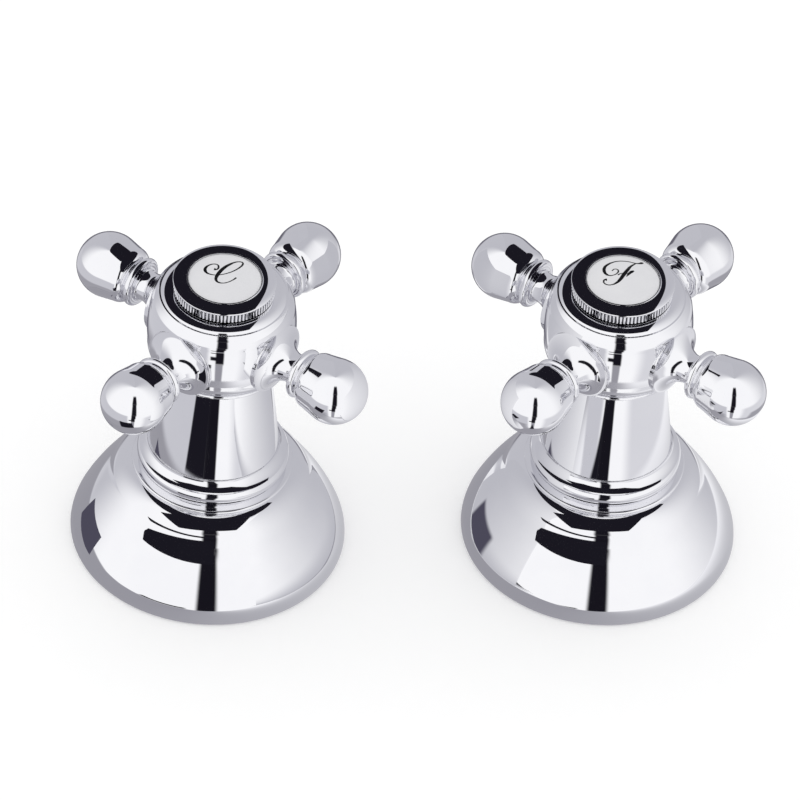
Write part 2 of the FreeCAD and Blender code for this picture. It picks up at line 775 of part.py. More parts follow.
def hub(doc, tap, s, h):
    """Barrel-shaped hub: lip, four spot-faced arm seats, splined bore and screw recess."""
    piece = Piece(doc, tap, "hub", h.hub, s.handle_angle)
    tall, wide = s.hub_height, s.hub_radius
    lip, edge = s.hub_lip_radius, s.hub_shoulder_radius
    spline_bore = s.spindle_radius - s.spline_depth * 0.7
    spline_top = s.hub_web_rise - s.hub_screw_land
    screw_bore = s.screw_radius + s.seat_gap * 3
    outline = (
        Outline(s.hub_skirt_bore, as_size(0))
        .line(lip * 0.96, as_size(0))
        .arc(lip, tall * 0.019, lip * 0.968, tall * 0.041)
        .line(lip * 0.963, tall * 0.05)
        .line(lip * 0.99, tall * 0.057)
        .arc(wide * 0.945, tall * 0.129, wide * 0.98, tall * 0.269)
        .arc(wide, tall * 0.517, wide * 0.968, tall * 0.775)
        .arc(wide * 0.936, tall * 0.873, edge * 1.012, tall * 0.934)
        .line(edge, tall * 0.947)
        .line(edge * 0.975, tall * 0.947)
        .arc(edge * 0.912, tall * 0.981, s.hub_crown_radius, tall)
        .line(s.cap_thread_radius, tall)
        .line(s.cap_thread_radius, s.hub_web_rise)
        .line(screw_bore, s.hub_web_rise)
        .line(screw_bore, spline_top)
        .line(spline_bore, spline_top)
        .line(spline_bore, s.hub_skirt_depth)
        .line(s.hub_skirt_bore, s.hub_skirt_depth)
    )
    piece.turned([outline])
    rise = s.arm_height - h.hub
    root = s.hub_skirt_bore + s.moving_gap
    boss = piece.padded(
        lambda sketch: draw_circle(sketch, s.arm_boss_radius, as_size(0), rise),
        s.arm_seat_reach - root, "arm_boss", plane="YZ_Plane", lift=root)
    seat = piece.pocket(
        lambda sketch: draw_circle(sketch, s.arm_boss_radius, as_size(0), rise),
        s.hub_radius - s.arm_seat_reach + s.moving_gap, "arm_seat", plane="YZ_Plane",
        lift=s.arm_seat_reach, reverse=True)
    hole = piece.pocket(
        lambda sketch: draw_circle(sketch, s.arm_stud_radius + s.seat_gap, as_size(0), rise),
        s.arm_stud_length + s.moving_gap, "arm_hole", plane="YZ_Plane", lift=s.arm_seat_reach)
    piece.around([boss, seat, hole], as_size(len(ARM_NAMES)), "arm_seats")

    def spline_space(sketch):
        turn = as_size(FULL_TURN_ANGLE / 2) / s.spline_teeth
        inner, outer = s.spindle_radius - s.spline_depth, s.spindle_radius + s.seat_gap
        inner_half = inner * math.pi / s.spline_teeth * 0.93
        outer_half = outer * math.pi / s.spline_teeth * 0.33

        def turned_point(along, side):
            return (along * cosine(turn) - side * sine(turn),
                    along * sine(turn) + side * cosine(turn))

        draw(sketch, Outline(*turned_point(inner, -inner_half))
             .line(*turned_point(outer, -outer_half))
             .line(*turned_point(outer, outer_half))
             .line(*turned_point(inner, inner_half)))

    cut = piece.pocket(spline_space, spline_top - s.hub_skirt_depth, "spline",
                       lift=s.hub_skirt_depth, reverse=True)
    piece.around([cut], s.spline_teeth, "splines")


def arm(doc, tap, s, h, name, place):
    """Turned arm: screwed stud, trumpet flare, slim neck, ring and egg-shaped knob."""
    turn = s.handle_angle + as_size(FULL_TURN_ANGLE / len(ARM_NAMES) * place)
    piece = Piece(doc, tap, name, s.arm_height, turn)
    seat, flare, neck = s.arm_seat_reach, s.flare_radius, s.arm_neck_radius
    ring, half = s.arm_ring_reach, s.arm_ring_width / 2
    knob, centre = s.knob_radius, s.knob_reach
    outline = (
        Outline(seat - s.arm_stud_length, as_size(0))
        .line(seat - s.arm_stud_length, s.arm_stud_radius)
        .line(seat, s.arm_stud_radius)
        .line(seat, flare)
        .line(seat + s.flare_rim, flare)
        .line(seat + s.flare_rim, flare * 0.962)
        .arc(between(seat, s.arm_neck_reach, 0.39), flare * 0.62, s.arm_neck_reach, neck)
        .line(ring - half * 2.05, neck)
        .arc(ring - half * 1.4, neck * 1.09, ring - half * 1.12, neck * 1.3)
        .line(ring - half, neck * 1.33)
        .arc(ring, s.arm_ring_radius, ring + half, neck * 1.42)
        .line(ring + half * 1.15, neck * 1.36)
        .line(centre - knob * 0.982, knob * 0.668)
        .arc(centre - knob * 0.89, knob * 0.794, centre - knob * 0.65, knob * 0.888)
        .line(centre - knob * cosine(s.knob_tail_angle), knob * sine(s.knob_tail_angle))
        .arc(centre + knob * cosine(s.knob_nose_angle), knob * sine(s.knob_nose_angle),
             centre + knob, as_size(0))
    )
    piece.turned([outline], about="H_Axis")


def handle_screw(doc, tap, s, h):
    """Socket screw that draws the hub on to the spindle."""
    under = h.web_top + s.screw_washer_height
    piece = Piece(doc, tap, "handle_screw", under, s.handle_angle)
    piece.turned([
        Outline(as_size(0), -s.screw_length)
        .line(s.screw_radius, -s.screw_length)
        .line(s.screw_radius, as_size(0))
        .line(s.screw_head_radius, as_size(0))
        .line(s.screw_head_radius, s.screw_head_height)
        .line(as_size(0), s.screw_head_height)])

    def socket(sketch):
        reach = s.screw_hex_flats / math.sqrt(3)
        draw(sketch, polygon(reach, HEXAGON_COUNT))

    piece.pocket(socket, s.screw_hex_depth, "socket", lift=s.screw_head_height)


def screw_washer(doc, tap, s, h):
    """Flat washer under the screw's head."""
    piece = Piece(doc, tap, "screw_washer", h.web_top)
    bore = s.screw_radius + s.seat_gap * 3
    piece.turned([ring_outline(bore, s.screw_washer_radius, as_size(0), s.screw_washer_height)])


def index_cap(doc, tap, s, h):
    """Knurled cap: screwed skirt with a ring groove, knurled belt, rolled face, disc seat."""
    foot = h.cap - s.cap_skirt_length
    piece = Piece(doc, tap, "index_cap", foot, s.handle_angle)
    skirt = s.cap_skirt_radius
    bore = skirt - s.cap_skirt_wall
    groove = s.cap_thread_radius - s.cap_ring_section * 2 - s.seat_gap * 0.4
    groove_low = s.cap_skirt_length * 0.3
    groove_high = groove_low + s.cap_ring_section * 2 + s.seat_gap * 2
    belt = s.cap_skirt_length
    brow = belt + s.knurl_height
    face = brow + s.cap_face_height
    floor = face - s.disc_seat_depth
    lip, seat = s.cap_lip_radius, s.disc_seat_radius
    outline = (
        Outline(bore, as_size(0))
        .line(skirt, as_size(0))
        .line(skirt, groove_low)
        .line(groove, groove_low)
        .line(groove, groove_high)
        .line(skirt, groove_high)
        .line(skirt, belt)
        .line(s.cap_radius, belt)
        .line(s.cap_radius, brow)
        .arc(lip, between(brow, face, 0.25), lip * 0.985, between(brow, face, 0.55))
        .arc(lip * 0.87, face, seat * 1.05, between(brow, face, 0.8))
        .arc(seat * 1.025, between(brow, face, 0.98), seat, between(brow, face, 0.8))
        .line(seat, floor)
        .line(as_size(0), floor)
        .line(as_size(0), belt)
        .line(bore, belt)
    )
    piece.turned([outline])
    cut = piece.pocket(notch(s.cap_radius, s.knurl_depth, s.knurl_teeth), s.knurl_height,
                       "knurl", lift=brow)
    piece.around([cut], s.knurl_teeth, "knurls")


def cap_oring(doc, tap, s, h):
    """Rubber ring that keeps the screwed cap from working loose."""
    piece = Piece(doc, tap, "cap_oring", h.cap - s.cap_skirt_length)
    radius = s.cap_thread_radius - s.cap_ring_section - s.seat_gap * 0.2
    rise = s.cap_skirt_length * 0.3 + s.cap_ring_section + s.seat_gap
    piece.turned([ring_section(radius, s.cap_ring_section, rise)])


def index_disc(doc, tap, s, h):
    """Slightly crowned disc in the cap's seat."""
    piece = Piece(doc, tap, "index_disc", h.disc_seat, s.handle_angle)
    radius = s.disc_seat_radius - s.seat_gap
    tall, crown = s.index_disc_height, s.index_disc_crown
    ball = (radius * radius + crown * crown) / (crown * 2)
    reach = root(radius * radius / 4 + (ball - crown / 2) * (ball - crown / 2))
    middle_up = tall + crown - ball + (ball - crown / 2) * ball / reach
    piece.turned([
        Outline(as_size(0), as_size(0))
        .line(radius, as_size(0))
        .line(radius, tall)
        .arc(radius / 2 * ball / reach, middle_up, as_size(0), tall + crown)])


FIXED = (bell_flange, base_gasket, valve_body, collar_ring, cone_sleeve, cartridge_housing,
         housing_oring, seat_seal, fixed_disc, thrust_washer)
TURNING = (rotor_disc, spindle, spindle_orings, snap_ring, hub, handle_screw, screw_washer,
           index_cap, cap_oring, index_disc)


def build(doc):
    """Build both valves from the same sizes."""
    s = make_sheet(doc)
    h = heights(s)
    for side, sign in SIDES:
        tap = SimpleNamespace(side=side, across=s.tap_spacing * (sign / 2))
        for make in FIXED + TURNING:
            make(doc, tap, s, h)
        for place, name in enumerate(ARM_NAMES):
            arm(doc, tap, s, h, name, place)
    doc.recompute()


def check(doc):
    """Stop if any object failed, or any sub-part is not a sound solid."""
    for thing in doc.Objects:
        if {"Invalid", "Error"} & set(thing.State):
            raise ValueError(f"{thing.Label} failed: {thing.State}")
    for body in doc.findObjects("PartDesign::Body"):
        if body.Shape.isNull() or not body.Shape.isValid() or not body.Shape.Solids:
            raise ValueError(f"{body.Label} is not a sound solid")


def write(doc):
    """Write each sub-part to its own file."""
    os.makedirs("parts", exist_ok=True)
    for body in doc.findObjects("PartDesign::Body"):
        body.Shape.exportStep(f"parts/{body.Label}.step")
        print(f"{body.Label}: {len(body.Shape.Solids)} solid, {body.Shape.Volume:.1f} mm3")


document = FreeCAD.newDocument("bidet_taps")
build(document)
check(document)
write(document)
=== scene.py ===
"""Dresses a packed pair of bidet taps: mirror chrome, white index discs and a soft light tent.

The hot tap stands on -X and the cold one on +X, and the user is on -Y. The polished pieces are
turned again here from finely divided outlines, because a mirror shows every facet. The pieces
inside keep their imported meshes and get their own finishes.
"""

import logging
import math
from dataclasses import dataclass, field, replace
from enum import Enum
from typing import Callable, Optional, Union

import bmesh
import bpy
from mathutils import Matrix, Vector


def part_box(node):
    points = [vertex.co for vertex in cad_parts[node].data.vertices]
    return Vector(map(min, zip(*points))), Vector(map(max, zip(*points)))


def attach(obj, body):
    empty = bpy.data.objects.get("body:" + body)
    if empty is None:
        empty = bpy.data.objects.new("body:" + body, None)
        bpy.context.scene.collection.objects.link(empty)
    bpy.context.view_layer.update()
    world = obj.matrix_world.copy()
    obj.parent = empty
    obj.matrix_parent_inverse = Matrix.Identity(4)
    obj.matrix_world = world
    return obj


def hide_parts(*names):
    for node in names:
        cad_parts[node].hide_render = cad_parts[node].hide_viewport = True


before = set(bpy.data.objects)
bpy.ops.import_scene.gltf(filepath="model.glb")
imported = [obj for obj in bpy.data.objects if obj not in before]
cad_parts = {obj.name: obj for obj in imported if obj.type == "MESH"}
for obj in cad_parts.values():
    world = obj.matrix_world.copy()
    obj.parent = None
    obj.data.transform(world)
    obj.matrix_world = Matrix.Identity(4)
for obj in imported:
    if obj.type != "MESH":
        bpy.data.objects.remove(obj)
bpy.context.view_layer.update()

LOG = logging.getLogger("bidet_taps")
MM = 0.001
SPIN_STEPS, LARGE_SPIN_STEPS, SMALL_SPIN_STEPS = 192, 256, 160
SHARP_ANGLE = math.radians(27.0)
MERGE_GAP = 1e-4

# Corners of an outline: their least turn in radians, and how far a round takes up the runs.
CORNER_TURN = 0.35
ROUND_STEPS = 6
ROUND_ROOM = 0.4
GUARD_SHARE = 0.3
GUARD_ROOM = 0.08

# Noise of the finishes, and how it moves the tone, the roughness and the height of a surface.
CLOUD_DETAIL, GRAIN_DETAIL, NOISE_ROUGHNESS = 3.0, 4.0, 0.6
CLOUD_TONE, GRAIN_TONE, TONE_STEP = 0.7, 0.3, (0.35, 0.65)
ROUGH_STEP = (0.3, 0.7)
GRAIN_HEIGHT, RINGS_HEIGHT, BUMP_DISTANCE = 0.35, 0.65, 0.1 * MM
# Painted shade in a knurl's grooves: its colour, where it is full and gone, and the belt's edge.
GROOVE_SHADE = (0.10, 0.10, 0.115)
GROOVE_STEP, GROOVE_EDGE = (0.8, 0.15), 0.1

Mesh = bmesh.types.BMesh
Socket = bpy.types.NodeSocket
Colour = Union[Socket, tuple]
Term = Union["Value", int, float]


# ---------------------------------------------------------------- shader tools


class Value:
    """A number inside a material, so that shader sums read as plain sums."""

    def __init__(self, paint: "Paint", socket: Socket) -> None:
        """Wrap an output socket.

        Args:
            paint: The material's nodes.
            socket: The output that gives the number.
        """
        self.paint = paint
        self.socket = socket

    def work(self, operation: str, *others: Term, swap: bool = False) -> "Value":
        """Add a Math node.

        Args:
            operation: The node's operation.
            others: Its further numbers.
            swap: True where this number comes second.

        Returns:
            The result.
        """
        numbers = [self, *others]
        if swap:
            numbers.reverse()
        sockets = dict(enumerate(numbers))
        return self.paint.value("ShaderNodeMath", {"operation": operation}, sockets)

    def __add__(self, other: Term) -> "Value":
        """Sum."""
        return self.work("ADD", other)

    def __sub__(self, other: Term) -> "Value":
        """Difference."""
        return self.work("SUBTRACT", other)

    def __rsub__(self, other: Term) -> "Value":
        """Difference from a number."""
        return self.work("SUBTRACT", other, swap=True)

    def __mul__(self, other: Term) -> "Value":
        """Product."""
        return self.work("MULTIPLY", other)

    def ramp(self, low: float, high: float, first: float = 0.0, last: float = 1.0) -> "Value":
        """Smooth step from one number to another.

        Args:
            low: Where the step starts.
            high: Where it ends.
            first: The result below it.
            last: The result above it.

        Returns:
            The stepped number.
        """
        return self.paint.value(
            "ShaderNodeMapRange", {"interpolation_type": "SMOOTHSTEP"},
            {"Value": self, "From Min": low, "From Max": high, "To Min": first, "To Max": last})

    def within(self, limits: tuple, soft: float) -> "Value":
        """One between two limits and nothing outside them, with soft steps.

        Args:
            limits: The limits.
            soft: Half the width of each step.

        Returns:
            The share.
        """
        low, high = limits
        return self.ramp(low - soft, low + soft) * self.ramp(high - soft, high + soft, 1.0, 0.0)


class Paint:
    """The node tree of one material, or of the world."""

    def __init__(self, tree: bpy.types.NodeTree) -> None:
        """Start from an empty tree.

        Args:
            tree: The node tree.
        """
        self.tree = tree
        tree.nodes.clear()

    def node(self, kind: str, settings: Optional[dict] = None,
             sockets: Optional[dict] = None) -> bpy.types.Node:
        """Add any node.

        Args:
            kind: The node's type.
            settings: Its own settings.
            sockets: Its inputs by name or number, each a value, an output or a plain setting.

        Returns:
            The node.
        """
        made = self.tree.nodes.new(kind)
        for name, setting in (settings or {}).items():
            setattr(made, name, setting)
        for name, given in (sockets or {}).items():
            self.plug(made.inputs[name], given)
        return made

    def plug(self, socket: Socket, given: object) -> None:
        """Link an input or set it.

        Args:
            socket: The input.
            given: A value, an output, a colour or a plain setting.
        """
        source = given.socket if isinstance(given, Value) else given
        if isinstance(source, Socket):
            self.tree.links.new(source, socket)
        elif socket.type == "RGBA":
            socket.default_value = (*source, 1.0)
        else:
            socket.default_value = source

    def value(self, kind: str, settings: Optional[dict] = None, sockets: Optional[dict] = None,
              output: Union[int, str] = 0) -> Value:
        """Add any node and wrap one of its outputs.

        Args:
            kind: The node's type.
            settings: Its own settings.
            sockets: Its inputs.
            output: The output's name or number.

        Returns:
            The wrapped output.
        """
        return Value(self, self.node(kind, settings, sockets).outputs[output])

    def blend(self, factor: Union[Value, float], first: Colour, last: Colour) -> Socket:
        """Mix two colours.

        Args:
            factor: The share of the last one.
            first: A colour.
            last: A colour.

        Returns:
            The mixed colour.
        """
        sockets = {0: factor, 6: first, 7: last}
        return self.node("ShaderNodeMix", {"data_type": "RGBA"}, sockets).outputs[2]

    def place(self) -> Socket:
        """Object coordinates in millimetres.

        Returns:
            The coordinates.
        """
        here = self.node("ShaderNodeTexCoord").outputs["Object"]
        sockets = {"Vector": here, "Scale": (1.0 / MM, 1.0 / MM, 1.0 / MM)}
        return self.node("ShaderNodeMapping", None, sockets).outputs[0]

    def axes(self, source: Socket) -> tuple:
        """The three numbers of a vector.

        Args:
            source: The vector.

        Returns:
            Its X, Y and Z.
        """
        parts = self.node("ShaderNodeSeparateXYZ", None, {0: source})
        return tuple(Value(self, output) for output in parts.outputs)

    def noise(self, scale: float, detail: float) -> Value:
        """Cloudy pattern in millimetres.

        Args:
            scale: Clouds per millimetre.
            detail: Octaves.

        Returns:
            A number about 0.5.
        """
        return self.value("ShaderNodeTexNoise", None,
                          {"Vector": self.place(), "Scale": scale, "Detail": detail,
                           "Roughness": NOISE_ROUGHNESS})

    def glow(self, colour: Colour, strength: float = 1.0) -> Socket:
        """Light of one colour.

        Args:
            colour: The colour.
            strength: Its strength.

        Returns:
            The shader.
        """
        sockets = {"Color": colour, "Strength": strength}
        return self.node("ShaderNodeEmission", None, sockets).outputs[0]

    def clear(self) -> Socket:
        """Nothing at all, so that what lies behind shows."""
        return self.node("ShaderNodeBsdfTransparent").outputs[0]

    def either(self, factor: Value, first: Socket, last: Socket) -> Socket:
        """Mix two shaders.

        Args:
            factor: The share of the last one.
            first: A shader.
            last: A shader.

        Returns:
            The mixed shader.
        """
        return self.node("ShaderNodeMixShader", None, {0: factor, 1: first, 2: last}).outputs[0]

    def finish(self, shader: Socket, world: bool = False) -> None:
        """Lead a shader to the output.

        Args:
            shader: The shader.
            world: True where it is the world's.
        """
        kind = "ShaderNodeOutputWorld" if world else "ShaderNodeOutputMaterial"
        self.node(kind, None, {"Surface": shader})


def painted(name: str) -> tuple:
    """A new material and its empty nodes.

    Args:
        name: The material's name.

    Returns:
        The material and its nodes.
    """
    made = bpy.data.materials.new(name)
    made.use_nodes = True
    return made, Paint(made.node_tree)


@dataclass(frozen=True)
class Finish:
    """A surface finish: its name, its slot in the record and its plain numbers."""

    name: str
    slot: Optional[str]
    colour: tuple
    deep: tuple
    metallic: float = 0.0
    rough: float = 0.3
    rough_spread: float = 0.1
    cloud: float = 0.3
    grain: float = 4.0
    bump: float = 0.02
    rings: float = 0.0
    groove: tuple = ()
    settings: dict = field(default_factory=dict)

    def material(self) -> bpy.types.Material:
        """The material of this finish, made once.

        Returns:
            The material.
        """
        found = bpy.data.materials.get(self.name)
        if found is not None:
            return found
        made, paint = painted(self.name)
        cloud = paint.noise(self.cloud, CLOUD_DETAIL)
        grain = paint.noise(self.grain, GRAIN_DETAIL)
        tone = (cloud * CLOUD_TONE + grain * GRAIN_TONE).ramp(*TONE_STEP)
        rough = cloud.ramp(*ROUGH_STEP, self.rough - self.rough_spread / 2,
                           self.rough + self.rough_spread / 2)
        height = grain
        if self.rings:
            height = grain * GRAIN_HEIGHT + self.turning(paint) * RINGS_HEIGHT
        sockets = {"Strength": self.bump, "Distance": BUMP_DISTANCE, "Height": height}
        normal = paint.node("ShaderNodeBump", None, sockets)
        colour = paint.blend(tone, self.deep, self.colour)
        # Painted shade darkens the colour in a knurl's grooves.
        if self.groove:
            colour = paint.blend(self.grooves(paint), colour, GROOVE_SHADE)
        sockets = {"Base Color": colour, "Roughness": rough, "Metallic": self.metallic,
                   "Normal": normal.outputs[0], **self.settings}
        paint.finish(paint.node("ShaderNodeBsdfPrincipled", None, sockets).outputs[0])
        return made

    def grooves(self, paint: Paint) -> Value:
        """Painted shade at the bottom of a knurl's grooves.

        Args:
            paint: The material's nodes.

        Returns:
            One in the grooves and nothing outside them.
        """
        axis, reach, depth, low, high = self.groove
        deepest, shallowest = (reach - depth * share for share in GROOVE_STEP)
        x, y, z = paint.axes(paint.place())
        out = ((x - axis) * (x - axis) + y * y).work("SQRT")
        belt = z.ramp(low, low + GROOVE_EDGE) * z.ramp(high - GROOVE_EDGE, high, 1.0, 0.0)
        return belt * out.ramp(deepest, shallowest, 1.0, 0.0)

    def turning(self, paint: Paint) -> Value:
        """Fine tool marks of a lathe, as waves up the valve's axis.

        Args:
            paint: The material's nodes.

        Returns:
            The height of the marks.
        """
        return paint.value("ShaderNodeTexWave", {"bands_direction": "Z"},
                           {"Vector": paint.place(), "Scale": self.rings, "Distortion": 0.6,
                            "Detail": 2.0})


CHROME = Finish("polished_chrome", "chrome", (0.835, 0.835, 0.86), (0.815, 0.815, 0.845),
                metallic=1.0, rough=0.028, rough_spread=0.02, cloud=0.06, grain=0.25, bump=0.012)
BRASS = Finish("raw_brass", "raw_brass", (0.83, 0.60, 0.27), (0.70, 0.47, 0.20), metallic=1.0,
               rough=0.3, rough_spread=0.14, cloud=0.12, grain=6.0, bump=0.35, rings=2.2)
RUBBER = Finish("black_rubber", "black_rubber", (0.030, 0.030, 0.031), (0.018, 0.018, 0.019),
                rough=0.55, rough_spread=0.12, cloud=0.4, grain=9.0, bump=0.3)
CERAMIC = Finish("disc_ceramic", "ceramic", (0.86, 0.84, 0.79), (0.80, 0.77, 0.71), rough=0.2,
                 rough_spread=0.08, cloud=0.5, grain=12.0, bump=0.05,
                 settings={"Coat Weight": 0.3})
PLASTIC = Finish("washer_plastic", "washer_plastic", (0.88, 0.88, 0.85), (0.80, 0.80, 0.77),
                 rough=0.45, rough_spread=0.1, cloud=0.5, grain=8.0, bump=0.1,
                 settings={"Subsurface Weight": 0.1})
STEEL = Finish("spring_steel", "spring_steel", (0.62, 0.62, 0.63), (0.50, 0.50, 0.52),
               metallic=1.0, rough=0.32, rough_spread=0.1, cloud=0.5, grain=10.0, bump=0.2,
               rings=5.0)
ENAMEL = Finish("index_enamel", "index_white", (0.79, 0.79, 0.81), (0.765, 0.765, 0.79),
                rough=0.32, rough_spread=0.05, cloud=0.2, grain=3.0, bump=0.02,
                settings={"Coat Weight": 0.35, "Coat Roughness": 0.22})
INK = Finish("letter_ink", None, (0.012, 0.012, 0.014), (0.008, 0.008, 0.010), rough=0.35,
             rough_spread=0.1, cloud=1.0, grain=12.0, bump=0.05)


# ---------------------------------------------------------------- mesh tools


class Profile:
    """An outline beside an axis, as (distance from it, height), in millimetres."""

    def __init__(self, across: float, up: float) -> None:
        """Start the outline.

        Args:
            across: Distance from the axis.
            up: Height.
        """
        self.points = [Vector((across, up))]

    def to(self, across: float, up: float) -> "Profile":
        """Straight run to a point.

        Args:
            across: Distance from the axis.
            up: Height.

        Returns:
            The outline.
        """
        self.points.append(Vector((across, up)))
        return self

    def arc(self, middle_across: float, middle_up: float, across: float, up: float,
            steps: int = 14) -> "Profile":
        """Round arc through a middle point to an end point.

        Args:
            middle_across: Distance of the middle point.
            middle_up: Height of the middle point.
            across: Distance of the end.
            up: Height of the end.
            steps: Runs that the arc is divided into.

        Returns:
            The outline.
        """
        a, b, c = self.points[-1], Vector((middle_across, middle_up)), Vector((across, up))
        turn = 2 * (a.x * (b.y - c.y) + b.x * (c.y - a.y) + c.x * (a.y - b.y))
        if abs(turn) < 1e-9:
            return self.to(across, up)
        aa, bb, cc = a.length_squared, b.length_squared, c.length_squared
        centre = Vector(((aa * (b.y - c.y) + bb * (c.y - a.y) + cc * (a.y - b.y)) / turn,
                         (aa * (c.x - b.x) + bb * (a.x - c.x) + cc * (b.x - a.x)) / turn))
        radius = (a - centre).length
        start = math.atan2(a.y - centre.y, a.x - centre.x)
        sweep = math.atan2(c.y - centre.y, c.x - centre.x) - start
        way = -1.0 if (b - a).cross(c - b) < 0 else 1.0
        sweep = way * ((way * sweep) % (2 * math.pi))
        for step in range(1, steps):
            angle = start + sweep * step / steps
            self.points.append(centre + Vector((math.cos(angle), math.sin(angle))) * radius)
        self.points.append(c)
        return self

    def softened(self, radius: float) -> "Profile":
        """The same closed outline with a small round on each corner.

        A guard point on each side of a round keeps its shading off the runs beside it.

        Args:
            radius: Radius of the rounds.

        Returns:
            A new outline.
        """
        made = Profile(0.0, 0.0)
        made.points = []
        count = len(self.points)
        for index, here in enumerate(self.points):
            before, after = self.points[index - 1], self.points[(index + 1) % count]
            arrive, leave = here - before, after - here
            if arrive.length < MERGE_GAP or leave.length < MERGE_GAP:
                continue
            turn = arrive.angle_signed(leave)
            if abs(turn) < CORNER_TURN or here.x < MERGE_GAP:
                made.points.append(here.copy())
                continue
            reach = min(radius * math.tan(abs(turn) / 2), arrive.length * ROUND_ROOM,
                        leave.length * ROUND_ROOM)
            guard_in = min(reach * GUARD_SHARE, arrive.length * GUARD_ROOM)
            guard_out = min(reach * GUARD_SHARE, leave.length * GUARD_ROOM)
            start = here - arrive.normalized() * reach
            end = here + leave.normalized() * reach
            made.points.append(start - arrive.normalized() * guard_in)
            for step in range(ROUND_STEPS + 1):
                share = step / ROUND_STEPS
                near = start.lerp(here, share)
                made.points.append(near.lerp(here.lerp(end, share), share))
            made.points.append(end + leave.normalized() * guard_out)
        return made

    def spun(self, steps: int = SPIN_STEPS) -> Mesh:
        """The closed outline turned about the axis.

        Args:
            steps: Steps of the full turn.

        Returns:
            The mesh, in millimetres.
        """
        mesh = bmesh.new()
        dots = [mesh.verts.new((point.x, 0.0, point.y)) for point in self.points]
        runs = [mesh.edges.new(pair) for pair in zip(dots, dots[1:] + dots[:1])]
        bmesh.ops.spin(mesh, geom=dots + runs, cent=(0, 0, 0), axis=(0, 0, 1),
                       angle=2 * math.pi, steps=steps, use_merge=True)
        tidy(mesh)
        return mesh


def ordered(mesh: Mesh) -> None:
    """Put points, edges and faces in an order that is the same in every run.

    The spin operator makes the same ones each time, but not in the same order.

    Args:
        mesh: The mesh.
    """
    rank = {vert: place for place, vert in enumerate(sorted(mesh.verts, key=lambda v: v.co[:]))}
    mesh.verts.sort(key=rank.get)
    for group in (mesh.edges, mesh.faces):
        corners = {item: sorted(rank[vert] for vert in item.verts) for item in group}
        order = {item: place for place, item in enumerate(sorted(group, key=corners.get))}
        group.sort(key=order.get)


def tidy(mesh: Mesh) -> None:
    """Close seams and poles, and point the faces outwards.

    Args:
        mesh: The mesh, in millimetres.
    """
    bmesh.ops.remove_doubles(mesh, verts=mesh.verts, dist=MERGE_GAP)
    bmesh.ops.dissolve_degenerate(mesh, edges=mesh.edges, dist=MERGE_GAP / 10)
    ordered(mesh)
    bmesh.ops.recalc_face_normals(mesh, faces=mesh.faces)


def moved(mesh: Mesh, matrix: Matrix) -> Mesh:
    """Move a mesh.

    Args:
        mesh: The mesh.
        matrix: The move.

    Returns:
        The same mesh.
    """
    bmesh.ops.transform(mesh, matrix=matrix, verts=mesh.verts)
    return mesh


def turned(degrees: float, axis: str = "Z") -> Matrix:
    """A turn about an axis.

    Args:
        degrees: Angle.
        axis: The axis.

    Returns:
        The matrix.
    """
    return Matrix.Rotation(math.radians(degrees), 4, axis)


def shift(across: float = 0.0, along: float = 0.0, up: float = 0.0) -> Matrix:
    """A move in millimetres.

    Args:
        across: Along X.
        along: Along Y.
        up: Along Z.

    Returns:
        The matrix.
    """
    return Matrix.Translation((across, along, up))


def new_object(name: str, mesh: Mesh) -> bpy.types.Object:
    """Make an object at the origin from a mesh in millimetres.

    Args:
        name: Its name.
        mesh: The mesh, freed here.

    Returns:
        The object.
    """
    bmesh.ops.scale(mesh, vec=(MM, MM, MM), verts=mesh.verts)
    for face in mesh.faces:
        face.smooth = True
    for edge in mesh.edges:
        edge.smooth = not (edge.is_manifold and edge.calc_face_angle(0.0) > SHARP_ANGLE)
    data = bpy.data.meshes.new(name)
    mesh.to_mesh(data)
    mesh.free()
    made = bpy.data.objects.new(name, data)
    bpy.context.scene.collection.objects.link(made)
    return made


def evaluated(source: bpy.types.Object) -> Mesh:
    """The mesh of an object as its modifiers leave it. The object is removed.

    Args:
        source: The object.

    Returns:
        The mesh, in the object's own units.
    """
    graph = bpy.context.evaluated_depsgraph_get()
    data = bpy.data.meshes.new_from_object(source.evaluated_get(graph))
    mesh = bmesh.new()
    mesh.from_mesh(data)
    bpy.data.objects.remove(source)
    bpy.data.meshes.remove(data)
    return mesh


MASTERS: dict = {}


def copy_of(name: str, make: Callable[[], Mesh]) -> Mesh:
    """A copy of a shape that both taps have, made when it is first asked for.

    Args:
        name: The shape's name.
        make: Makes the shape.

    Returns:
        The copy, in millimetres.
    """
    if name not in MASTERS:
        MASTERS[name] = make()
    return MASTERS[name].copy()


class Cut(Enum):
    """How one solid changes another."""

    JOIN = "UNION"
    TAKE = "DIFFERENCE"


def combined(base: Mesh, tool: Mesh, how: Cut) -> Mesh:
    """Join a solid to another, or take it away.

    Args:
        base: The solid that changes.
        tool: The other one.
        how: Join or take.

    Returns:
        The new solid, in millimetres.
    """
    body = new_object("cut_base", base)
    other = new_object("cut_tool", tool)
    modifier = body.modifiers.new("cut", "BOOLEAN")
    modifier.operation = how.value
    modifier.solver = "EXACT"
    modifier.object = other
    made = evaluated(body)
    bmesh.ops.scale(made, vec=(1 / MM, 1 / MM, 1 / MM), verts=made.verts)
    bpy.data.objects.remove(other)
    return made


class Side(Enum):
    """The two taps."""

    HOT = "hot"
    COLD = "cold"

    def node(self, piece: str) -> str:
        """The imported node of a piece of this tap."""
        return f"{self.value}_{piece}"

    @property
    def handle(self) -> str:
        """The body that turns."""
        return f"{self.value}_handle"


def foot(side: Side, piece: str) -> float:
    """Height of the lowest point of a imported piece, in millimetres."""
    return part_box(side.node(piece))[0].z / MM


def axis_of(side: Side) -> float:
    """Distance of a tap's axis from the middle of the pair, in millimetres."""
    low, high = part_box(side.node("bell_flange"))
    return (low.x + high.x) / 2 / MM


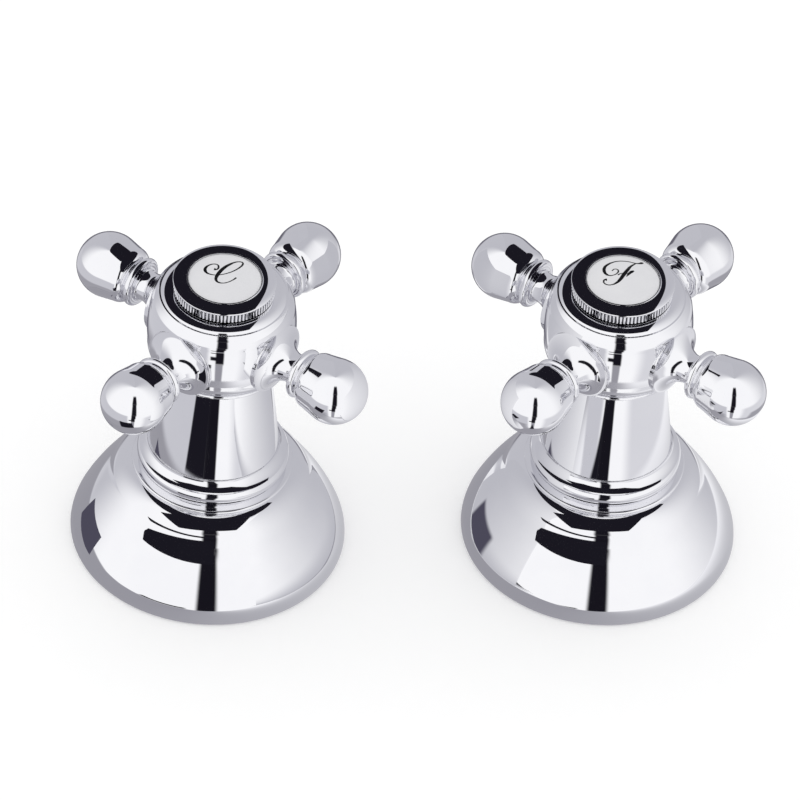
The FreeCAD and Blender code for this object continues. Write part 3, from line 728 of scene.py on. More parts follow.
def dress(name: str, mesh: Mesh, finish: Finish, body: str, *nodes: str) -> None:
    """Finish a piece: its material, its body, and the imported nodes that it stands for.

    Args:
        name: The piece's name.
        mesh: Its mesh, in millimetres, in place.
        finish: Its finish.
        body: The body that it rides on.
        nodes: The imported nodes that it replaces.
    """
    made = new_object(name, mesh)
    made.data.materials.append(finish.material())
    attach(made, body)
    if nodes:
        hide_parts(*nodes)
    LOG.info("%s: %d faces on %s", name, len(made.data.polygons), body)


# ---------------------------------------------------------------- the standing pieces


@dataclass
class Pedestal:
    """Bell flange, collar ring and cone sleeve of one tap. Sizes in millimetres."""

    side: Side
    bell_radius: float = 29.3
    bell_wall: float = 1.5
    rim_lift: float = 0.3
    ledge: float = 2.2
    gasket_height: float = 1.6
    gasket_width: float = 1.9
    crease_radius: float = 21.2
    crease_rise: float = 17.15
    bead_radius: float = 17.1
    bead: float = 0.45
    plate_low: float = 20.5
    bell_top: float = 22.1
    bore: float = 13.05
    collar_radius: float = 16.15
    collar_crown: float = 13.95
    collar_height: float = 5.9
    cone_foot: float = 13.8
    cone_top: float = 10.42
    cone_height: float = 24.2
    cone_wall: float = 1.4
    rib_bore: float = 8.05
    rib_low: float = 10.6
    rib_high: float = 14.6

    def bell(self) -> Mesh:
        """Rolled skirt, crease, domed shoulder and fine neck bead.

        Returns:
            The mesh.
        """
        radius, crease, rise = self.bell_radius, self.crease_radius, self.crease_rise
        wall, neck = self.bell_wall, self.bead_radius - self.bead
        inner = radius - wall - self.ledge
        seat = inner + self.gasket_width + 0.05
        bead_low = self.bell_top - self.bead * 2.4
        dome = (crease + (neck - crease) * 0.475, rise + (bead_low - rise) * 0.688)

        def flared(across: float, up: float) -> tuple:
            """Point at a share of the flare and of the crease's rise."""
            return crease + (radius - crease) * across, rise * up

        outline = (
            Profile(seat, self.rim_lift)
            .to(radius * 0.989, self.rim_lift)
            .arc(radius * 0.9965, rise * 0.05, radius, rise * 0.1, 8)
            .arc(*flared(0.978, 0.179), *flared(0.926, 0.262), 12)
            .arc(*flared(0.564, 0.604), *flared(0.093, 0.927), 34)
            .arc(*flared(0.018, 0.981), *flared(-0.046, 1.039), 14)
            .arc(*dome, neck, bead_low, 26)
            .arc(self.bead_radius, bead_low + self.bead, neck, bead_low + self.bead * 2, 12)
            .to(neck - self.bead * 2, self.bell_top)
            .to(self.bore, self.bell_top)
            .to(self.bore, self.plate_low)
            .to(neck - wall * 0.8, self.plate_low)
            .arc(dome[0] - wall * 0.7, dome[1] - wall * 0.75, crease - wall, rise - wall * 0.8, 12)
            .to(inner, rise * 0.41)
            .to(inner, self.gasket_height)
            .to(seat, self.gasket_height)
        )
        return outline.softened(0.12).spun(LARGE_SPIN_STEPS)

    def collar(self) -> Mesh:
        """Undercut foot, rounded belt and hollow sweep.

        Returns:
            The mesh.
        """
        r, top = self.collar_radius, self.collar_height
        outline = (
            Profile(self.bore, 0.0)
            .to(r * 0.94, 0.0)
            .to(r * 0.987, top * 0.17)
            .arc(r, top * 0.38, r * 0.972, top * 0.6, 14)
            .arc(r * 0.897, top * 0.75, self.collar_crown, top, 14)
            .to(self.bore, top)
        )
        return outline.softened(0.1).spun()

    def cone(self) -> Mesh:
        """Tapered sleeve with its inner rib.

        Returns:
            The mesh.
        """
        wall, tall = self.cone_wall, self.cone_height

        def inner(rise: float) -> float:
            """Inside radius at a height."""
            return self.cone_foot + (self.cone_top - self.cone_foot) * rise / tall - wall

        outline = (
            Profile(self.cone_foot - wall, 0.0)
            .to(self.cone_foot, 0.0)
            .to(self.cone_top, tall)
            .to(self.cone_top - wall, tall)
            .to(inner(self.rib_high), self.rib_high)
            .to(self.rib_bore, self.rib_high)
            .to(self.rib_bore, self.rib_low)
            .to(inner(self.rib_low), self.rib_low)
        )
        return outline.softened(0.12).spun()

    def build(self) -> None:
        """Make and dress the three pieces."""
        across = axis_of(self.side)
        for piece, mesh, low in (
                ("bell_flange", copy_of("bell", self.bell), 0.0),
                ("collar_ring", copy_of("collar", self.collar), foot(self.side, "collar_ring")),
                ("cone_sleeve", copy_of("cone", self.cone), foot(self.side, "cone_sleeve"))):
            node = self.side.node(piece)
            dress(f"{node}_polished", moved(mesh, shift(across, 0.0, low)), CHROME, "root", node)


# ---------------------------------------------------------------- the cross handle


@dataclass
class CrossHandle:
    """Hub and four turned arms of one tap. Sizes in millimetres, angles in degrees."""

    side: Side
    angle: float = 49.4
    tall: float = 19.35
    wide: float = 15.7
    cut_past: float = 1.0
    lip: float = 13.45
    edge: float = 13.6
    crown: float = 11.3
    skirt_bore: float = 11.0
    skirt_depth: float = 2.25
    web: float = 13.5
    screw_land: float = 1.3
    screw_bore: float = 2.15
    spline_bore: float = 3.7
    cap_bore: float = 8.3
    arm_height: float = 59.3
    seat: float = 14.2
    boss: float = 7.8
    boss_steps: int = 128
    boss_root: float = 11.3
    stud: float = 2.5
    stud_length: float = 6.5
    flare: float = 7.74
    rim: float = 0.45
    neck: float = 3.3
    neck_reach: float = 18.8
    ring: float = 5.5
    ring_reach: float = 21.65
    ring_half: float = 0.85
    knob: float = 7.08
    knob_reach: float = 29.8
    step: float = 90.0
    arms: tuple = ("right_back_arm", "left_back_arm", "left_front_arm", "right_front_arm")

    def hub_turning(self) -> Mesh:
        """Barrel of the hub before its seats are cut.

        Returns:
            The mesh.
        """
        tall, wide, lip, edge = self.tall, self.wide, self.lip, self.edge
        outline = (
            Profile(self.skirt_bore, 0.0)
            .to(lip * 0.96, 0.0)
            .arc(lip, tall * 0.019, lip * 0.968, tall * 0.041, 8)
            .to(lip * 0.963, tall * 0.05)
            .to(lip * 0.99, tall * 0.057)
            .arc(wide * 0.945, tall * 0.129, wide * 0.98, tall * 0.269, 18)
            .arc(wide, tall * 0.517, wide * 0.968, tall * 0.775, 30)
            .arc(wide * 0.936, tall * 0.873, edge * 1.012, tall * 0.934, 18)
            .to(edge, tall * 0.947)
            .to(edge * 0.975, tall * 0.947)
            .arc(edge * 0.912, tall * 0.981, self.crown, tall, 14)
            .to(self.cap_bore, tall)
            .to(self.cap_bore, self.web)
            .to(self.screw_bore, self.web)
            .to(self.screw_bore, self.web - self.screw_land)
            .to(self.spline_bore, self.web - self.screw_land)
            .to(self.spline_bore, self.skirt_depth)
            .to(self.skirt_bore, self.skirt_depth)
        )
        return outline.softened(0.08).spun()

    def rods(self, first: float, last: float, rise: float) -> Mesh:
        """Plain rods in the directions of the arms, the tool for the bosses or the seats.

        Args:
            first: Distance of their near ends from the hub's axis.
            last: Distance of their far ends.
            rise: Their height above the hub's foot.

        Returns:
            The mesh.
        """
        mesh = bmesh.new()
        for place in range(len(self.arms)):
            lay = shift((first + last) / 2, 0.0, rise) @ turned(90.0, "Y")
            bmesh.ops.create_cone(mesh, cap_ends=True, segments=self.boss_steps,
                                  radius1=self.boss, radius2=self.boss, depth=last - first,
                                  matrix=turned(self.step * place) @ lay)
        return mesh

    def hub(self) -> Mesh:
        """Hub with its four spot-faced seats.

        Returns:
            The mesh, on its own foot.
        """
        rise = self.arm_height - foot(self.side, "hub")
        mesh = combined(self.hub_turning(), self.rods(self.boss_root, self.seat, rise), Cut.JOIN)
        mesh = combined(mesh, self.rods(self.seat, self.wide + self.cut_past, rise), Cut.TAKE)
        bmesh.ops.recalc_face_normals(mesh, faces=mesh.faces)
        return mesh

    def arm(self) -> Mesh:
        """Stud, trumpet flare, slim neck, ring and egg-shaped knob, along +X.

        Returns:
            The mesh.
        """
        seat, flare, neck = self.seat, self.flare, self.neck
        ring, half, knob, centre = self.ring_reach, self.ring_half, self.knob, self.knob_reach
        tail, nose = math.radians(76.2), math.radians(50.0)
        outline = Profile(0.0, seat - self.stud_length)
        outline.to(self.stud, seat - self.stud_length).to(self.stud, seat).to(flare, seat)
        outline.to(flare, seat + self.rim).to(flare * 0.962, seat + self.rim)
        outline.arc(flare * 0.62, seat + (self.neck_reach - seat) * 0.39, neck, self.neck_reach, 22)
        outline.to(neck, ring - half * 2.05)
        outline.arc(neck * 1.09, ring - half * 1.4, neck * 1.3, ring - half * 1.12, 8)
        outline.to(neck * 1.33, ring - half)
        outline.arc(self.ring, ring, neck * 1.42, ring + half, 18)
        outline.to(neck * 1.36, ring + half * 1.15)
        outline.to(knob * 0.668, centre - knob * 0.982)
        outline.arc(knob * 0.794, centre - knob * 0.89, knob * 0.888, centre - knob * 0.65, 12)
        outline.to(knob * math.sin(tail), centre - knob * math.cos(tail))
        outline.arc(knob * math.sin(nose), centre + knob * math.cos(nose), 0.0, centre + knob, 48)
        mesh = outline.softened(0.07).spun(SMALL_SPIN_STEPS)
        return moved(mesh, turned(90.0, "Y"))

    def build(self) -> None:
        """Make and dress the hub and the arms."""
        across, body, node = axis_of(self.side), self.side.handle, self.side.node("hub")
        stand = shift(across, 0.0, foot(self.side, "hub")) @ turned(self.angle)
        dress(f"{node}_polished", moved(copy_of("hub", self.hub), stand), CHROME, body, node)
        for place, name in enumerate(self.arms):
            node = self.side.node(name)
            out = shift(across, 0.0, self.arm_height) @ turned(self.angle + self.step * place)
            dress(f"{node}_polished", moved(copy_of("arm", self.arm), out), CHROME, body, node)


# ---------------------------------------------------------------- cap, disc and letter


@dataclass(frozen=True)
class Stroke:
    """One pen stroke: points of (across, up, width), in millimetres from the disc's middle."""

    points: tuple


HOT_LETTER = (
    Stroke(((-2.16, 2.71, 0.42), (-1.66, 2.58, 0.22), (-1.17, 3.44, 0.24), (-1.44, 4.15, 0.16),
            (-2.20, 4.34, 0.16), (-3.09, 4.04, 0.22), (-3.86, 3.26, 0.36), (-4.05, 2.35, 0.40),
            (-3.62, 1.47, 0.26), (-2.82, 1.02, 0.17), (-1.93, 0.82, 0.14), (-0.86, 0.92, 0.14),
            (0.48, 1.34, 0.15), (1.82, 2.06, 0.17), (3.07, 3.10, 0.20), (3.87, 4.15, 0.24),
            (3.96, 4.88, 0.22), (3.25, 5.15, 0.16), (2.27, 4.89, 0.22), (1.20, 4.21, 0.34),
            (0.04, 3.17, 0.44), (-0.95, 1.90, 0.48), (-1.64, 0.60, 0.44), (-1.93, -0.55, 0.36),
            (-1.57, -1.33, 0.26), (-0.59, -1.66, 0.15), (0.48, -1.40, 0.14), (1.55, -0.74, 0.16),
            (2.36, 0.04, 0.22))),)
COLD_LETTER = (
    Stroke(((-2.18, 2.67, 0.16), (-1.63, 3.19, 0.13), (-1.08, 3.10, 0.15), (-0.85, 2.61, 0.20),
            (-1.17, 1.87, 0.16), (-1.90, 1.33, 0.14), (-2.73, 1.17, 0.18), (-3.46, 1.60, 0.32),
            (-3.83, 2.67, 0.42), (-3.65, 3.75, 0.38), (-2.91, 4.69, 0.30), (-1.90, 5.36, 0.20),
            (-0.62, 5.77, 0.15), (0.67, 5.79, 0.14), (1.87, 5.56, 0.14), (2.88, 5.16, 0.15),
            (3.70, 5.12, 0.22), (4.25, 5.26, 0.40), (4.70, 5.30, 0.14))),
    Stroke(((3.01, 5.05, 0.16), (1.96, 4.15, 0.30), (1.13, 2.94, 0.44), (0.21, 1.46, 0.50),
            (-0.62, -0.01, 0.44), (-1.53, -1.09, 0.30), (-2.45, -1.63, 0.17),
            (-3.37, -1.69, 0.15), (-4.02, -1.25, 0.18), (-4.20, -0.62, 0.20),
            (-3.92, -0.08, 0.22), (-3.45, -0.12, 0.46))),
    Stroke(((-1.03, 1.33, 0.20), (-0.43, 1.77, 0.14), (0.21, 1.83, 0.14), (0.85, 1.60, 0.14),
            (1.41, 1.94, 0.28), (1.91, 2.34, 0.46), (2.46, 2.67, 0.20))),
    Stroke(((0.69, 0.86, 0.14), (1.04, 1.26, 0.20), (1.64, 2.07, 0.36))),
)


@dataclass
class IndexTop:
    """Knurled cap, white disc and script letter of one tap. Sizes in millimetres."""

    side: Side
    radius: float = 10.7
    lip: float = 10.92
    belt_height: float = 2.0
    knurl_depth: float = 0.3
    knurl_flank: float = 0.42
    teeth: int = 84
    tooth_lines: int = 4
    belt_slack: float = 0.004
    face_height: float = 0.95
    skirt: float = 8.2
    skirt_length: float = 2.6
    skirt_wall: float = 1.3
    groove: float = 7.56
    groove_low: float = 0.3
    groove_wide: float = 0.82
    seat: float = 7.7
    seat_depth: float = 1.45
    disc_gap: float = 0.05
    disc_height: float = 1.15
    crown: float = 0.35
    ink_height: float = 0.02
    ink_flatness: float = 12.0
    pen_share: float = 1.75

    def cap(self) -> Mesh:
        """Screwed skirt, knurled belt, rolled face and disc seat.

        Returns:
            The mesh, on its own foot.
        """
        belt = self.skirt_length
        brow = belt + self.belt_height
        face = brow + self.face_height
        seat, lip, inside = self.seat, self.lip, self.skirt - self.skirt_wall
        low = belt * self.groove_low
        high = low + self.groove_wide

        def rise(share: float) -> float:
            """Height of a share of the face."""
            return brow + self.face_height * share

        outline = (
            Profile(0.0, face - self.seat_depth)
            .to(0.0, belt)
            .to(inside, belt)
            .to(inside, 0.0)
            .to(self.skirt, 0.0)
            .to(self.skirt, low)
            .to(self.groove, low)
            .to(self.groove, high)
            .to(self.skirt, high)
            .to(self.skirt, belt)
            .to(self.radius, belt)
            .to(self.radius, brow)
            .arc(lip, rise(0.25), lip * 0.985, rise(0.55), 12)
            .arc(lip * 0.87, face, seat * 1.05, rise(0.8), 24)
            .arc(seat * 1.025, rise(0.98), seat, rise(0.8), 10)
            .to(seat, face - self.seat_depth)
        )
        mesh = outline.softened(0.06).spun(self.teeth * self.tooth_lines)
        self.cut_knurl(mesh, belt, brow)
        return mesh

    def cut_knurl(self, mesh: Mesh, low: float, high: float) -> None:
        """Draw one line of each tooth inwards, and its neighbours part of the way.

        Args:
            mesh: The cap.
            low: Foot of the belt.
            high: Top of the belt.
        """
        flank = self.knurl_depth * self.knurl_flank
        depths = (self.knurl_depth, flank, 0.0, flank)
        step = 2 * math.pi / (self.teeth * self.tooth_lines)
        rows = [[] for _ in depths]
        for vert in mesh.verts:
            reach = math.hypot(vert.co.x, vert.co.y)
            if abs(reach - self.radius) < self.belt_slack and low < vert.co.z < high:
                line = round(math.atan2(vert.co.y, vert.co.x) / step) % self.tooth_lines
                rows[line].append(vert)
        for depth, verts in zip(depths, rows):
            share = 1.0 - depth / self.radius
            bmesh.ops.scale(mesh, vec=(share, share, 1.0), verts=verts)

    def dome(self, reach: float) -> float:
        """Height of the disc's crown above its foot.

        Args:
            reach: Distance from the middle.

        Returns:
            The height.
        """
        radius = self.seat - self.disc_gap
        ball = (radius ** 2 + self.crown ** 2) / (self.crown * 2)
        return self.disc_height + self.crown - ball + math.sqrt(ball ** 2 - reach ** 2)

    def disc(self) -> Mesh:
        """Crowned disc.

        Returns:
            The mesh, on its own foot.
        """
        radius = self.seat - self.disc_gap
        outline = Profile(0.0, 0.0).to(radius, 0.0).to(radius, self.disc_height)
        outline.arc(radius / 2, self.dome(radius / 2), 0.0, self.dome(0.0), 40)
        return outline.softened(0.1).spun(SMALL_SPIN_STEPS)

    def letter(self) -> Mesh:
        """Script letter that lies on the crown.

        Returns:
            The mesh, on the disc's foot.
        """
        strokes = HOT_LETTER if self.side is Side.HOT else COLD_LETTER
        curve = bpy.data.curves.new("pen_line", "CURVE")
        curve.dimensions = "3D"
        curve.bevel_depth = 1.0
        curve.bevel_resolution = 2
        curve.use_fill_caps = True
        curve.resolution_u = 8
        for stroke in strokes:
            line = curve.splines.new("BEZIER")
            line.bezier_points.add(len(stroke.points) - 1)
            for dot, (across, up, width) in zip(line.bezier_points, stroke.points):
                dot.co = (across, up, 0.0)
                dot.radius = width / 2 * self.pen_share
                dot.handle_left_type = dot.handle_right_type = "AUTO"
        pen = bpy.data.objects.new("pen_line", curve)
        bpy.context.scene.collection.objects.link(pen)
        mesh = evaluated(pen)
        bmesh.ops.remove_doubles(mesh, verts=mesh.verts, dist=MERGE_GAP)
        for vert in mesh.verts:
            side = max(-1.0, min(1.0, vert.co.z * self.ink_flatness))
            reach = math.hypot(vert.co.x, vert.co.y)
            vert.co.z = self.dome(reach) + self.ink_height * side
        bmesh.ops.recalc_face_normals(mesh, faces=mesh.faces)
        return mesh

    def build(self) -> None:
        """Make and dress the cap, the disc and the letter."""
        across, body = axis_of(self.side), self.side.handle
        cap, disc = self.side.node("index_cap"), self.side.node("index_disc")
        stand = shift(across, 0.0, foot(self.side, "index_disc"))
        low = foot(self.side, "index_cap")
        belt = low + self.skirt_length
        # The knurled chrome has painted shade in its grooves.
        knurled = replace(CHROME, name=f"{self.side.value}_knurled_chrome",
                          groove=(across, self.radius, self.knurl_depth, belt,
                                  belt + self.belt_height))
        dress(f"{cap}_polished", moved(copy_of("cap", self.cap), shift(across, 0.0, low)),
              knurled, body, cap)
        dress(f"{disc}_enamel", moved(copy_of("disc", self.disc), stand), ENAMEL, body, disc)
        dress(f"{self.side.value}_letter", moved(self.letter(), stand), INK, body)


# ---------------------------------------------------------------- the works inside


@dataclass
class Works:
    """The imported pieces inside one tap, which keep their meshes."""

    side: Side
    finishes: dict = field(default_factory=lambda: {
        "base_gasket": RUBBER,
        "valve_body": BRASS,
        "cartridge_housing": BRASS,
        "housing_oring": RUBBER,
        "seat_seal": RUBBER,
        "fixed_disc": CERAMIC,
        "rotor_disc": CERAMIC,
        "thrust_washer": PLASTIC,
        "spindle": BRASS,
        "spindle_orings": RUBBER,
        "snap_ring": STEEL,
        "handle_screw": STEEL,
        "screw_washer": STEEL,
        "cap_oring": RUBBER,
    })

    def build(self) -> None:
        """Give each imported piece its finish."""
        for piece, finish in self.finishes.items():
            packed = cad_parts[self.side.node(piece)]
            material = finish.material()
            if not packed.material_slots:
                packed.data.materials.append(material)
            for slot in packed.material_slots:
                slot.material = material
            LOG.info("%s keeps its mesh, in %s", packed.name, finish.name)


# ---------------------------------------------------------------- light, floor, cards and camera


WHITE = (1.0, 1.0, 1.0)
GAP = (0.010, 0.009, 0.014)
BLACK = (0.012, 0.011, 0.017)
VIOLET = (0.085, 0.080, 0.115)
RIM_GREY = (0.15, 0.145, 0.18)
LOW_GREY = (0.40, 0.395, 0.43)
SIDE_GREY = (0.58, 0.58, 0.62)
TENT_WHITE = (1.12, 1.12, 1.12)

# Bearings and heights that lie past every direction, for patches without an end.
LEFT_END, RIGHT_END = -400.0, 400.0
FOOT, TOP = -200.0, 200.0


@dataclass(frozen=True)
class Patch:
    """Part of the tent, in degrees: its bearings and heights, its tone and its soft edges.

    Bearings go from the user's side, and are positive to the user's right. The edges are half the
    width of the step at the sides, and above and below.
    """

    bearings: tuple
    heights: tuple
    tone: tuple
    edges: tuple


@dataclass
class Tent:
    """White light tent: grey sides and foot, darker low behind, and one dark gap in front."""

    patches: tuple = (
        Patch((LEFT_END, -115.0), (FOOT, TOP), (0.60, 0.60, 0.64), (25.0, 1.0)),
        Patch((100.0, RIGHT_END), (FOOT, TOP), SIDE_GREY, (45.0, 1.0)),
        Patch((LEFT_END, -22.0), (FOOT, -12.5), (0.66, 0.66, 0.70), (4.0, 2.5)),
        Patch((29.0, RIGHT_END), (FOOT, -19.0), (0.80, 0.80, 0.83), (11.0, 5.0)),
        Patch((LEFT_END, -28.0), (FOOT, -41.0), LOW_GREY, (10.0, 3.0)),
        Patch((64.0, RIGHT_END), (FOOT, -41.0), LOW_GREY, (10.0, 3.0)),
        Patch((LEFT_END, RIGHT_END), (FOOT, -58.0), LOW_GREY, (1.0, 4.0)),
        Patch((LEFT_END, -158.0), (-72.0, -14.0), RIM_GREY, (9.0, 6.0)),
        Patch((144.0, RIGHT_END), (-72.0, -14.0), RIM_GREY, (9.0, 6.0)),
        Patch((-11.0, 0.0), (FOOT, -33.0), (0.36, 0.355, 0.39), (1.5, 1.0)),
        Patch((-18.5, -4.0), (-29.3, -25.6), GAP, (1.5, 0.8)),
        Patch((-11.0, 1.0), (-33.0, -19.0), GAP, (1.5, 1.5)),
        Patch((-10.5, 3.0), (-21.0, -8.0), GAP, (1.8, 2.0)),
        Patch((-10.0, 5.0), (-10.0, 32.0), GAP, (2.0, 3.0)),
        Patch((-11.0, 6.5), (29.0, 58.0), GAP, (2.5, 4.0)),
    )

    def build(self) -> None:
        """Set the world: plain white light, which polished metal sees as the tent."""
        world = bpy.data.worlds.new("light_tent")
        bpy.context.scene.world = world
        world.use_nodes = True
        paint = Paint(world.node_tree)
        x, y, z = paint.axes(paint.node("ShaderNodeTexCoord").outputs["Generated"])
        bearing = x.work("ARCTAN2", y * -1.0) * math.degrees(1.0)
        rise = z.work("ARCSINE") * math.degrees(1.0)
        tone = TENT_WHITE
        for patch in self.patches:
            aside, above = patch.edges
            inside = bearing.within(patch.bearings, aside) * rise.within(patch.heights, above)
            tone = paint.blend(inside, tone, patch.tone)
        glossy = paint.value("ShaderNodeLightPath", output="Is Glossy Ray")
        sockets = {"Color": paint.blend(glossy, WHITE, tone), "Strength": 1.0}
        paint.finish(paint.node("ShaderNodeBackground", None, sockets).outputs[0], world=True)


@dataclass
class Floor:
    """Large plain floor, pale to the eye. Sizes in millimetres, bearings in degrees.

    Polished metal sees a painted reflection on it, which glows and takes no light: grey round each
    tap, where it stands for the floor's shade, from a darker left to a paler right, with a painted
    dark zone in front on the left. Beyond that it is clear to such metal, so that the tent shows.
    """

    half_size: float = 3000.0
    sink: float = 0.02
    colour: tuple = (0.80, 0.80, 0.80)
    lift: float = 0.26
    left: tuple = (0.37, 0.365, 0.40)
    right: tuple = (0.58, 0.58, 0.61)
    left_to_right: tuple = (-22.0, 38.0)
    outer: tuple = (1.0, 1.0, 1.02)
    outer_start: float = 0.48
    outer_side: tuple = (-5.0, 30.0)
    near: float = 63.0
    near_edge: float = 3.0
    dark_reach: tuple = (66.0, 109.0)
    dark_reach_edge: float = 2.0
    dark_bearings: tuple = (-46.0, -16.0)
    dark_bearings_edge: float = 1.5
    dark_middle: tuple = (9.0, 14.0)
    dark_gain: float = 8.0

    def material(self) -> bpy.types.Material:
        """Material of the floor.

        Returns:
            The material.
        """
        made, paint = painted("tent_floor")
        light = paint.node("ShaderNodeLightPath")
        camera, glossy, through = (Value(paint, light.outputs[name]) for name in
                                   ("Is Camera Ray", "Is Glossy Ray", "Is Transmission Ray"))
        x, y, _ = paint.axes(paint.place())
        aside = x.work("ABSOLUTE")
        beside = aside - abs(axis_of(Side.HOT))
        across = x.work("SIGN") * beside
        reach = (beside * beside + y * y).work("SQRT")
        bearing = across.work("ARCTAN2", y * -1.0) * math.degrees(1.0)
        # Painted dark zone in the reflection, in front on the left of each tap.
        dark = bearing.within(self.dark_bearings, self.dark_bearings_edge)
        dark = dark * reach.within(self.dark_reach, self.dark_reach_edge)
        dark = dark * aside.ramp(*self.dark_middle)
        outer = reach.ramp(self.near * self.outer_start, self.near) * across.ramp(*self.outer_side)
        far = reach.ramp(self.near - self.near_edge, self.near + self.near_edge) * (1.0 - dark)
        # Painted reflection tones: grey for the floor's shade round each tap, near white further
        # out on the right.
        tone = paint.blend(across.ramp(*self.left_to_right), self.left, self.right)
        tone = paint.blend(outer, tone, self.outer)
        tone = paint.blend((dark * self.dark_gain).work("MINIMUM", 1.0), tone, BLACK)
        plain = paint.node("ShaderNodeBsdfDiffuse", None, {"Color": self.colour}).outputs[0]
        sockets = {0: plain, 1: paint.glow(WHITE, self.lift)}
        lifted = paint.node("ShaderNodeAddShader", None, sockets).outputs[0]
        seen = paint.either(camera + through, plain, lifted)
        mirrored = paint.either(far, paint.glow(tone), paint.clear())
        paint.finish(paint.either(glossy, seen, mirrored))
        return made

    def build(self) -> None:
        """Lay the floor a little below the taps."""
        mesh = bmesh.new()
        bmesh.ops.create_grid(mesh, x_segments=8, y_segments=8, size=self.half_size)
        made = new_object("floor", moved(mesh, shift(0.0, 0.0, -self.sink)))
        made.data.materials.append(self.material())


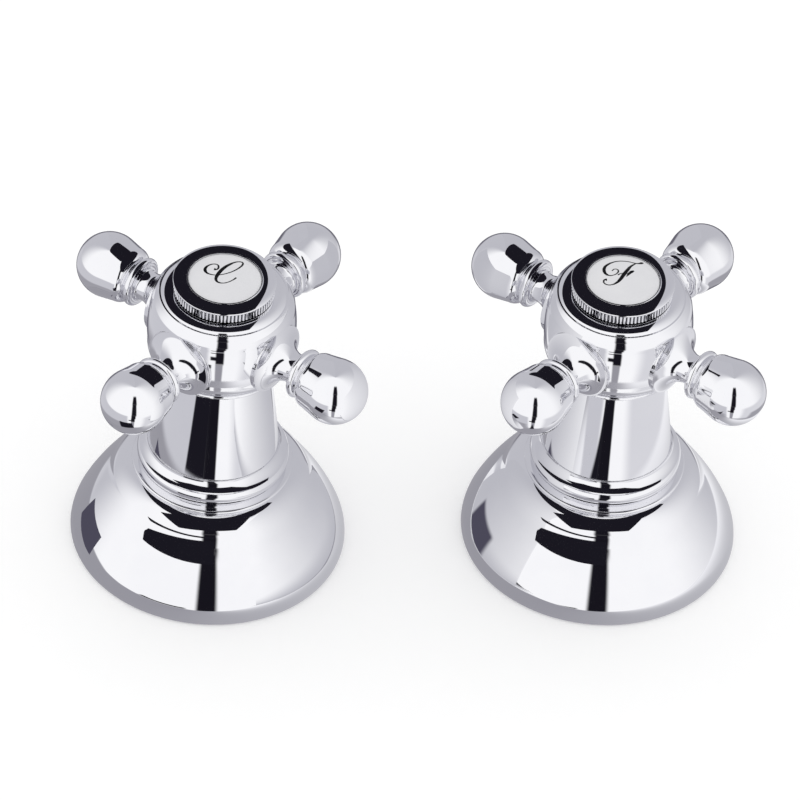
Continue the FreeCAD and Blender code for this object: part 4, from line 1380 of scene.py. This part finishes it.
@dataclass
class ReflectionCards:
    """Glowing sheets round each tap and a card between them: painted reflections that only
    polished metal sees.

    Sizes in millimetres, bearings in degrees. The card keeps the taps from mirroring each other.
    """

    top_radius: float = 25.0
    top_back: float = 9.0
    top_right: float = 9.0
    top_height: float = 77.5
    ring_reach: tuple = (30.0, 43.0)
    ring_bearings: tuple = (-54.0, 0.0)
    ring_height: float = 22.0
    neck_reach: tuple = (18.6, 28.0)
    neck_bearings: tuple = (-112.0, 78.0)
    low_corners: tuple = ((-30.0, -46.0), (19.0, -19.0))
    low_height: float = 44.0
    gap: float = 0.5
    violet_reach: tuple = (-8.0, 12.0)
    violet_height: float = 8.5
    card_reach: tuple = (-75.0, 31.0)
    card_height: float = 74.0
    card_fade: tuple = (-66.0, 22.0)
    foot_fade: tuple = (0.0, 8.0)
    violet_edges: tuple = (1.5, 1.0)
    clear_to: float = -31.0
    clear_edge: float = 0.5
    top_steps: int = 96
    ring_steps: int = 64

    def painted_reflection(self, name: str, tone: tuple, below: bool = False) -> bpy.types.Material:
        """Glowing sheet of one tone, for a painted reflection that lights nothing.

        Args:
            name: The material's name.
            tone: Its tone.
            below: True where only what lies below sees it.

        Returns:
            The material.
        """
        made, paint = painted(name)
        shader = paint.glow(tone)
        if below:
            behind = paint.value("ShaderNodeNewGeometry", output="Backfacing")
            shader = paint.either(behind, paint.clear(), shader)
        paint.finish(shader)
        return made

    def card(self) -> bpy.types.Material:
        """Painted reflection card: white near the user, and grey low down and further back.

        The hot tap sees its face. The cold tap sees its other side, which is clear near the user
        and violet at its foot.

        Returns:
            The material.
        """
        made, paint = painted("painted_reflection_card")
        _, y, z = paint.axes(paint.place())
        behind = paint.value("ShaderNodeNewGeometry", output="Backfacing")
        aside, above = self.violet_edges
        violet = y.within(self.violet_reach, aside)
        violet = violet * z.ramp(self.violet_height - above, self.violet_height + above, 1.0, 0.0)
        # Painted reflection tones: white near the user, grey low down and further back, violet at
        # the back's foot.
        tone = paint.blend(y.ramp(*self.card_fade), TENT_WHITE, SIDE_GREY)
        tone = paint.blend(z.ramp(*self.foot_fade, 1.0, 0.0), tone, SIDE_GREY)
        tone = paint.blend(violet * behind, tone, VIOLET)
        front = y.ramp(self.clear_to - self.clear_edge, self.clear_to + self.clear_edge)
        shown = front.work("MAXIMUM", 1.0 - behind)
        paint.finish(paint.either(shown, paint.clear(), paint.glow(tone)))
        return made

    def hang(self, name: str, mesh: Mesh, place: Matrix, material: bpy.types.Material) -> None:
        """Hang a painted reflection card or sheet.

        Args:
            name: Its name.
            mesh: Its flat mesh, in millimetres.
            place: Where it hangs.
            material: Its material.
        """
        for face in mesh.faces:
            face.normal_update()
            if face.normal.z < 0:
                face.normal_flip()
        made = new_object(name, moved(mesh, place))
        made.data.materials.append(material)
        # Only polished metal sees it: it lights nothing and casts no shadow.
        made.visible_camera = made.visible_diffuse = made.visible_shadow = False
        made.visible_transmission = made.visible_volume_scatter = False

    def sheet(self, low: tuple, high: tuple) -> Mesh:
        """Flat sheet.

        Args:
            low: Its lowest corner.
            high: Its highest corner.

        Returns:
            The mesh.
        """
        mesh = bmesh.new()
        bmesh.ops.create_grid(mesh, x_segments=1, y_segments=1, size=0.5)
        size = [top - bottom for top, bottom in zip(high, low)]
        bmesh.ops.scale(mesh, vec=(*size, 1.0), verts=mesh.verts)
        return moved(mesh, shift(low[0] + size[0] / 2, low[1] + size[1] / 2))

    def ring(self, reach: tuple, bearings: tuple) -> Mesh:
        """Flat part ring.

        Args:
            reach: Its inner and outer radius.
            bearings: Its ends.

        Returns:
            The mesh.
        """
        mesh = bmesh.new()
        ends = [mesh.verts.new((0.0, -radius, 0.0)) for radius in reach]
        run = mesh.edges.new(ends)
        first, last = bearings
        moved(mesh, turned(first))
        bmesh.ops.spin(mesh, geom=ends + [run], cent=(0, 0, 0), axis=(0, 0, 1),
                       angle=math.radians(last - first), steps=self.ring_steps)
        return mesh

    def top(self) -> Mesh:
        """Round sheet over the cap, cut straight on the right, for a painted dark reflection.

        Returns:
            The mesh.
        """
        mesh = bmesh.new()
        bmesh.ops.create_circle(mesh, cap_ends=True, segments=self.top_steps,
                                radius=self.top_radius)
        bmesh.ops.bisect_plane(mesh, geom=mesh.verts[:] + mesh.edges[:] + mesh.faces[:],
                               plane_co=(self.top_right, 0.0, 0.0), plane_no=(1.0, 0.0, 0.0),
                               clear_outer=True)
        return mesh

    def build(self) -> None:
        """Hang the painted reflection sheets and the card."""
        # Dark painted reflections over each cap and above each bell, and a violet one low left of
        # the hot tap.
        black = self.painted_reflection("painted_reflection_black", BLACK)
        under = self.painted_reflection("painted_reflection_black_below", BLACK, True)
        violet = self.painted_reflection("painted_reflection_violet", VIOLET)
        for side in Side:
            ring = self.ring(self.ring_reach, self.ring_bearings)
            neck = self.ring(self.neck_reach, self.neck_bearings)
            low = self.sheet(*self.low_corners)
            for name, mesh, back, height, material in (
                    ("top", self.top(), self.top_back, self.top_height, black),
                    ("ring", ring, 0.0, self.ring_height, under),
                    ("neck", neck, 0.0, self.low_height, under),
                    ("low", low, 0.0, self.low_height, under)):
                self.hang(f"{side.value}_{name}_cloth", mesh,
                          shift(axis_of(side), back, height), material)
        upright = turned(90.0, "Y").inverted()
        left = shift(-2 * abs(axis_of(Side.HOT)))
        first, last = self.violet_reach
        self.hang("painted_reflection_violet", self.sheet((self.gap, first), (self.violet_height, last)),
                  left @ upright, violet)
        first, last = self.card_reach
        self.hang("painted_reflection_card", self.sheet((self.gap, first), (self.card_height, last)),
                  upright, self.card())


@dataclass
class Camera:
    """The photograph's view.

    Angles in degrees, lengths in millimetres, the aim in pixels and the clip in metres.
    """

    elevation: float = 43.16
    azimuth: float = -7.13
    roll: float = 5.04
    distance: float = 2200.0
    lens: float = 467.0
    sensor: float = 36.0
    aim_height: float = 31.8
    aim_pixel: tuple = (411.8, 423.2)
    frame_pixels: float = 800.0
    clip: tuple = (0.1, 20.0)

    def build(self) -> None:
        """Place the camera, a little shifted to the photograph's frame."""
        up, around, roll = (math.radians(a) for a in (self.elevation, self.azimuth, self.roll))
        back = Vector((math.sin(around) * math.cos(up), -math.cos(around) * math.cos(up),
                       math.sin(up)))
        data = bpy.data.cameras.new("camera")
        data.lens, data.sensor_width = self.lens, self.sensor
        data.shift_x = -(self.aim_pixel[0] / self.frame_pixels - 0.5)
        data.shift_y = self.aim_pixel[1] / self.frame_pixels - 0.5
        data.clip_start, data.clip_end = self.clip
        data.dof.use_dof = False
        made = bpy.data.objects.new("camera", data)
        bpy.context.scene.collection.objects.link(made)
        aim = Vector((0.0, 0.0, self.aim_height))
        made.rotation_mode = "QUATERNION"
        made.location = (aim + back * self.distance) * MM
        turn = (-back).to_track_quat("-Z", "Y").to_matrix() @ Matrix.Rotation(roll, 3, "Z")
        made.rotation_quaternion = turn.to_quaternion()
        bpy.context.scene.camera = made


def main() -> None:
    """Build the studio and both taps."""
    logging.basicConfig(level=logging.INFO, format="%(message)s")
    bpy.context.scene.view_settings.view_transform = "Standard"
    for part in (Tent, Floor, ReflectionCards, Camera):
        part().build()
    for side in Side:
        for part in (Pedestal, CrossHandle, IndexTop, Works):
            part(side).build()


if __name__ == "__main__":
    main()
